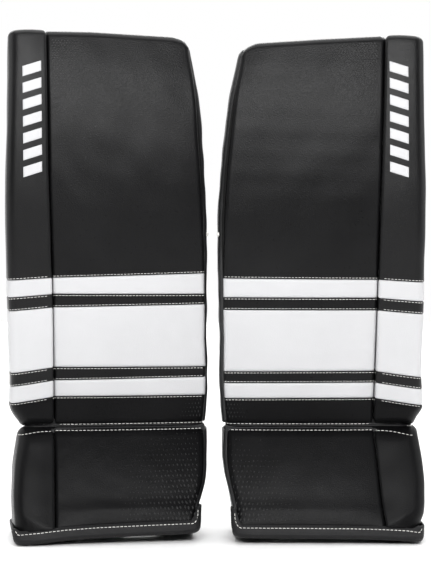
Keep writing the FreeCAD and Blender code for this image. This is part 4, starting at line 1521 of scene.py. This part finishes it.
def sewn_flap(flap, seed, heights, wide):
    """The flap's padding, swelled; flatter where straps of that width press on it."""
    form, pinned = flap.form()
    s, h = form.weave.T
    limit = np.full(len(h), WRAP_SWELL)
    for middle in heights:
        past = np.abs(h - middle) - wide / 2
        limit = np.minimum(limit, np.clip(0.5 + past * 0.25, 0.5, WRAP_SWELL))
    form = puff(form, pinned, limit[:, None])
    return form.moved(np.outer(ripple(s, h, seed, 26) * 0.35 * ~pinned, DEPTHWAYS))


def flap_threads(flap):
    """Stitching beside the binding and along the quilting, on both faces."""
    made = []
    edge = flap.border(7.0)
    edge = np.concatenate([edge, edge[:1]])
    for side in (-1, 1):
        made += flap.thread(edge, side, flap.edge_thick / 2 + 1.0)
        for h in flap.channels:
            made += flap.thread([(8.0, h), (flap.long - 8.0, h)], side,
                                flap.edge_thick / 2 + 0.75)
    return total(made)


def hang_flap(name, node, path, bottom, top, channels, straps, wide, seed):
    """One padded flap with its binding, thread and the leather strip it is hung from."""
    flap = Flap(path, bottom, top, WRAP_BEND, WRAP_THICK - 0.6, channels=channels)
    both(name + "_padding", sewn_flap(flap, seed, straps, wide), name, NYLON, "lining_nylon",
         [node], 0.7)
    both(name + "_binding", flap.binding(), name, TAPE, "lining_nylon")
    both(name + "_thread", flap_threads(flap), name, BLACK_THREAD, "lining_nylon")
    x = path[0][0]
    strip, _ = Flap([(x, -1.5), (x, 16.0)], bottom + 4, top - 4, 1.0, 7.6, corner=3.0,
                    edge_thick=6.6).form()
    bend = (channel((x, 1.5, 100)), channel((x, 8.5, 100)))
    both(name + "_hinge_strip", strip, ("shin", name, bend), BLACK, "black_leather")


def strap(line, wide, height):
    """Webbing that stands upright along a channel-frame line."""
    line = np.asarray(line, float)
    way = unit_vectors(np.gradient(line, axis=0))
    left = line + np.column_stack([-way[:, 1], way[:, 0]])
    return band(level_with(line, height), level_with(left, height), wide, WOVEN_THICK)


def threaded(path, bend, side, tail):
    """The strap's line, then through the clip's two slots, back over them, and a free tail."""
    way, end = unit(path[-2], path[-1]), path[-1]
    room = math.dist(path[-2], path[-1])
    main = rounded_path(path[:-1] + [beside(end, way, -min(9.0, room * 0.4))], bend, 1.6)
    over, first, second = side * 4.8, 4.2, 9.8
    slots = ((-2.4, over), (first, over), (first, -over), (second, -over),
             (second, over * 1.55), (-3.0, over * 1.55), (-9.0, side * TAIL_LIFT))
    ladder = rounded_path([main[-1]] + [beside(end, way, *slot) for slot in slots], 1.25, 0.9)
    back = main[::-1]
    run, at = distances(back), np.linspace(3.0, tail, 20)
    here = points_at(back, run, at)
    ahead = unit_vectors(points_at(back, run, at + 1) - here)
    lift = side * np.interp(at, [3, 8, tail], [TAIL_LIFT, TAIL_LIFT - 0.5, TAIL_LIFT])
    loose = here + np.column_stack([ahead[:, 1], -ahead[:, 0]]) * lift[:, None]
    return np.concatenate([main[:-1], ladder, loose])


def box_stitch(flap, start, long, side, lift=WEB_THICK / 2, inset=3.0):
    """Thread in a box with a cross, where a strap is sewn down."""
    a, b, c, d = oblong(start, start + long, flap.bottom + inset, flap.top - inset)
    return [f for row in ((a, b), (b, c), (c, d), (d, a), (a, c), (d, b))
            for f in flap.thread(row, side, lift, pitch=3.4)]


def strap_flap(path, height, wide, bend):
    """The strip of flap that a strap's box stitches are laid on."""
    return Flap(path, height - wide / 2, height + wide / 2, bend, WEB_THICK)


def bar_loop(mouth, way, height):
    """Webbing looped round a buckle's bar."""
    near, far, half = BUCKLE_LONG - 3.6, BUCKLE_LONG + 1.0, BUCKLE_THICK / 2 + 0.9
    corners = [beside(mouth, way, *p) for p in ((near, -half), (far, -half), (far, half),
                                                (near, half))]
    loop = rounded_loop(corners, [1.4] * 4, arc=5, edge=4)
    return band(level_with(loop, height), level_with(2 * loop - loop.mean(axis=0), height),
                WEB_WIDTH - 0.6, 1.6, 0.4, closed=True)


def buckle_ends(end, way):
    """Where the buckle's mouth and its webbing start, beyond a strap's end."""
    mouth = beside(end, way, LAYER_GAP + CLIP_BAR + PRONG_LONG + BUCKLE_APART)
    return mouth, beside(mouth, way, BUCKLE_LONG + LAYER_GAP)


def strap_run(wrap):
    """A strap's start on a flap's outside, and the flap's path moved out to the strap."""
    over = offset_path(wrap, STRAP_OFF)
    share = (STRAP_START_B - over[0][1]) / (over[1][1] - over[0][1])
    return (over[0][0] + share * (over[1][0] - over[0][0]), STRAP_START_B), over


def separate_bodies(node, tall):
    """(points, faces) of each separate body of a CAD node that is so tall, lowest first."""
    mesh = bmesh.new()
    mesh.from_mesh(NODES[node].data)
    bmesh.ops.remove_doubles(mesh, verts=mesh.verts, dist=1e-6)
    bmesh.ops.dissolve_limit(mesh, angle_limit=math.radians(0.5), verts=mesh.verts,
                             edges=mesh.edges)
    mesh.verts.index_update()
    left, bodies = set(mesh.verts), []
    while left:
        grown, edge = set(), [left.pop()]
        while edge:
            vert = edge.pop()
            grown.add(vert)
            others = {link.other_vert(vert) for link in vert.link_edges} & left
            left -= others
            edge += others
        ordered = sorted(grown, key=lambda v: v.index)
        points = np.array([v.co for v in ordered])
        if np.ptp(points[:, 2]) > tall:
            ids = {v: i for i, v in enumerate(ordered)}
            bodies.append((points, [tuple(ids[v] for v in f.verts) for f in mesh.faces
                                    if f.verts[0] in grown]))
    mesh.free()
    return sorted(bodies, key=lambda body: body[0][:, 2].mean())


def bevelled(obj, wide=0.0006):
    """Rounds a hard part's edges; the mesh itself isn't changed."""
    obj.modifiers.new("weld", "WELD").merge_threshold = 1e-6
    bevel = obj.modifiers.new("bevel", "BEVEL")
    bevel.width, bevel.segments, bevel.limit_method = wide, 3, "ANGLE"
    bevel.angle_limit = math.radians(35)
    bevel.harden_normals = True


def housings(node, names, body):
    """Each buckle housing of a CAD node as its own piece, with softened edges."""
    for side in SIDES:
        for name, solid in zip(names, separate_bodies(side + "_" + node, 0.030)):
            obj = new_object(side + "_" + name, *solid, PLASTIC, "buckle_plastic")
            bevelled(obj)
            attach(obj, side + "_" + body)
            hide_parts(side + "_" + node)


def keep_node(node, material, wide):
    """A CAD part whose shape is right, with its own look."""
    for side in SIDES:
        obj = NODES[side + "_" + node]
        for slot in obj.material_slots:
            slot.link = "OBJECT"
            slot.material = material
        bevelled(obj, wide)


def pillow():
    """The pillow swells on its outer face only; the other lies on the shin's back."""
    depth = 0.6 + PILLOW_THICK / 2
    flap = Flap([(-PILLOW_HALF, depth), (PILLOW_HALF, depth)], 18.0, 180.0, 1.0, PILLOW_THICK,
                corner=16.0, edge_thick=6.0, channels=(72.0, 126.0))
    form, pinned = flap.form()
    depths = form.points @ DEPTHWAYS
    form = puff(form, pinned | (depths <= np.median(depths)), PILLOW_SWELL)
    both("calf_pillow_padding", form, "shin", NYLON, "lining_nylon", ["calf_pillow"], 0.8)
    both("calf_pillow_binding", flap.binding(), "shin", TAPE, "lining_nylon")
    both("calf_pillow_thread", flap_threads(flap), "shin", BLACK_THREAD, "lining_nylon")


def at_depth(loop, b):
    """(x, h) points at depth b in the channel frame, given in the pad frame."""
    x, h = loop.T
    return channel(np.column_stack([x, b + 0 * x, h]))


def knee_block(k):
    """One of the foam blocks behind the knee, in nylon, and the stitching round it."""
    start = 0.3 + k * BLOCK_STEP
    end = start + BLOCK_THICK
    corners, radii = oblong(*BLOCK_X, WING_BOTTOM, WING_TOP), [8.0] * 4
    rounding = ends(2.6, 5)
    sections = [(28.6, start - 0.09), (19.6, start - 0.08), (11.6, start - 0.04),
                (6.6, start - 0.01), *((inset, start + up) for inset, up in rounding),
                (-0.2, start + 6.5), (-0.35, start + 10.15), (-0.2, start + 13.8),
                *((inset, end - down) for inset, down in reversed(rounding)),
                (6.6, end + 0.1), (11.6, end + 0.3), (19.6, end + 0.35), (28.6, end + 0.35)]
    rings = []
    for inset, b in sections:
        loop = rounded_loop(corners, radii, arc=6, edge=5, inset=inset)
        rings.append(at_depth(loop, b + 0.25 * ripple(loop[:, 0], loop[:, 1] + b, 400 + k, 30)))
    form = loft(rings)
    x, y, z = form.points.T
    form.weave = np.column_stack([x + y * 0.7, z])
    loop = rounded_loop(corners, radii, arc=6, edge=2, inset=-0.3)
    loop = np.concatenate([loop, loop[:1]])
    away = loop - np.mean(corners, axis=0)
    threads = []
    for b in (start + 3.0, end - 3.0):
        place = at_depth(loop, b)
        threads += stitches(list(zip(place, at_depth(loop + away, b) - place)), pitch=4.4,
                            length=3.3, radius=0.42)
    return form, total(threads)


def knee_blocks():
    for k in range(BLOCKS):
        form, thread = knee_block(k)
        both(f"knee_block_{k + 1}", form, "shin", KNEE_FOAM, "knee_foam", ["knee_stack"], 0.95)
        both(f"knee_block_thread_{k + 1}", thread, "shin", BLACK_THREAD, "knee_foam")
    patch = Flap([(42.0, 62.75), (97.0, 62.75)], 209.0, 251.0, 1.0, 1.4, corner=4.0,
                 edge_thick=1.2)
    both("knee_loop_patch", patch.form()[0], "shin", ELASTIC, "knee_foam")


def calf_straps():
    start, over = strap_run(OUTER_WRAP)
    way = unit(over[-1], offset_path(INNER_WRAP, -STRAP_OFF)[-1])
    path = [start, over[1], over[-1], beside(over[-1], way, WEB_TO_CLIP)]
    mouth, tail = buckle_ends(path[-1], way)
    on_wrap = offset_path(INNER_WRAP, -(WRAP_THICK / 2 + WEB_THICK / 2 + 0.1))
    tab = [tail, on_wrap[-1], beside(on_wrap[-1], unit(on_wrap[-1], on_wrap[1]), 26)]
    for name, height in STRAP_HEIGHTS.items():
        both(name + "_calf_webbing", strap(threaded(path, 12.0, 1, 42.0), WEB_WIDTH, height),
             "outer_wrap", WEBBING, "webbing", [name + "_calf_strap"])
        sewn = strap_flap(path, height, WEB_WIDTH, 12.0)
        both(name + "_calf_box_stitch", total(box_stitch(sewn, 3.0, 22.0, 1)), "outer_wrap",
             WHITE_THREAD, "webbing")
        both(name + "_buckle_tab", strap(rounded_path(tab, 2.5, 1.2), WEB_WIDTH, height),
             "inner_wrap", WEBBING, "webbing", ["calf_buckles"])
        both(name + "_buckle_loop", bar_loop(mouth, way, height), "inner_wrap", WEBBING,
             "webbing")
        sewn = strap_flap(tab, height, WEB_WIDTH, 2.5)
        both(name + "_tab_box_stitch",
             total([f for face in (-1, 1) for f in box_stitch(sewn, sewn.long - 20, 17.0, face)]),
             "inner_wrap", WHITE_THREAD, "webbing")
    housings("calf_buckles", ["lower_calf_buckle", "upper_calf_buckle"], "inner_wrap")


def knee_elastic():
    start, over = strap_run(KNEE_WING)
    rest_b = 0.3 + BLOCKS * BLOCK_STEP + 1.5 + WEB_THICK / 2
    past = beside(over[2], unit(over[1], over[2]), WING_OVERHANG)
    path = [start, over[1], past, (30, rest_b + 1.5), (93, rest_b)]
    both("knee_elastic", strap(rounded_path(path, 12.0, 1.6), KNEE_WEB_WIDTH, KNEE_HEIGHT),
         "knee_wing", ELASTIC, "elastic", ["knee_strap"])
    tip = Flap([(60.0, rest_b + WEB_THICK / 2 + 1.3), (96.0, rest_b + WEB_THICK / 2 + 0.9)],
               KNEE_HEIGHT - 21, KNEE_HEIGHT + 21, 1.0, 1.8, corner=8.0, edge_thick=1.4)
    both("knee_strap_pull_tab", tip.form()[0], "knee_wing", BLACK, "elastic")
    sewn = strap_flap(path, KNEE_HEIGHT, KNEE_WEB_WIDTH, 12.0)
    both("knee_box_stitch", total(box_stitch(sewn, 3.0, 24.0, 1)
                                  + box_stitch(tip, 3.0, 22.0, 1, 0.95, inset=4.0)),
         "knee_wing", WHITE_THREAD, "elastic")


def boot_webbing():
    way = unit(BOOT_STRAP[-2], BOOT_STRAP[-1])
    mouth, tail = buckle_ends(BOOT_STRAP[-1], way)
    height = BOOT_STRAP_HEIGHT
    both("boot_webbing", strap(threaded(BOOT_STRAP, 28.0, -1, 40.0), WEB_WIDTH, height),
         "boot_strap", WEBBING, "webbing", ["boot_strap"])
    tab = rounded_path([tail, beside(tail, way, BOOT_TAB_LONG)], 1.0, 1.2)
    both("boot_buckle_tab", strap(tab, WEB_WIDTH, height), "boot", WEBBING, "webbing",
         ["boot_buckle"])
    both("boot_buckle_loop", bar_loop(mouth, way, height), "boot", WEBBING, "webbing")
    housings("boot_buckle", ["boot_strap_buckle"], "boot")


pillow()
knee_blocks()
for wrap, line, wrap_seed in (("outer", OUTER_WRAP, 501), ("inner", INNER_WRAP, 502)):
    hang_flap(wrap + "_wrap", wrap + "_calf_wrap", line, WRAP_BOTTOM, WRAP_TOP, (102.0,),
              STRAP_HEIGHTS.values(), WEB_WIDTH, wrap_seed)
hang_flap("knee_wing", "knee_wing", KNEE_WING, WING_BOTTOM, WING_TOP, (), (KNEE_HEIGHT,),
          KNEE_WEB_WIDTH, 503)
calf_straps()
knee_elastic()
boot_webbing()
for clip in ("lower_calf_clip", "upper_calf_clip", "boot_clip"):
    keep_node(clip, PLASTIC, 0.0005)
keep_node("toe_tab", BASE, 0.0008)
keep_node("toe_eyelets", METAL, 0.0004)
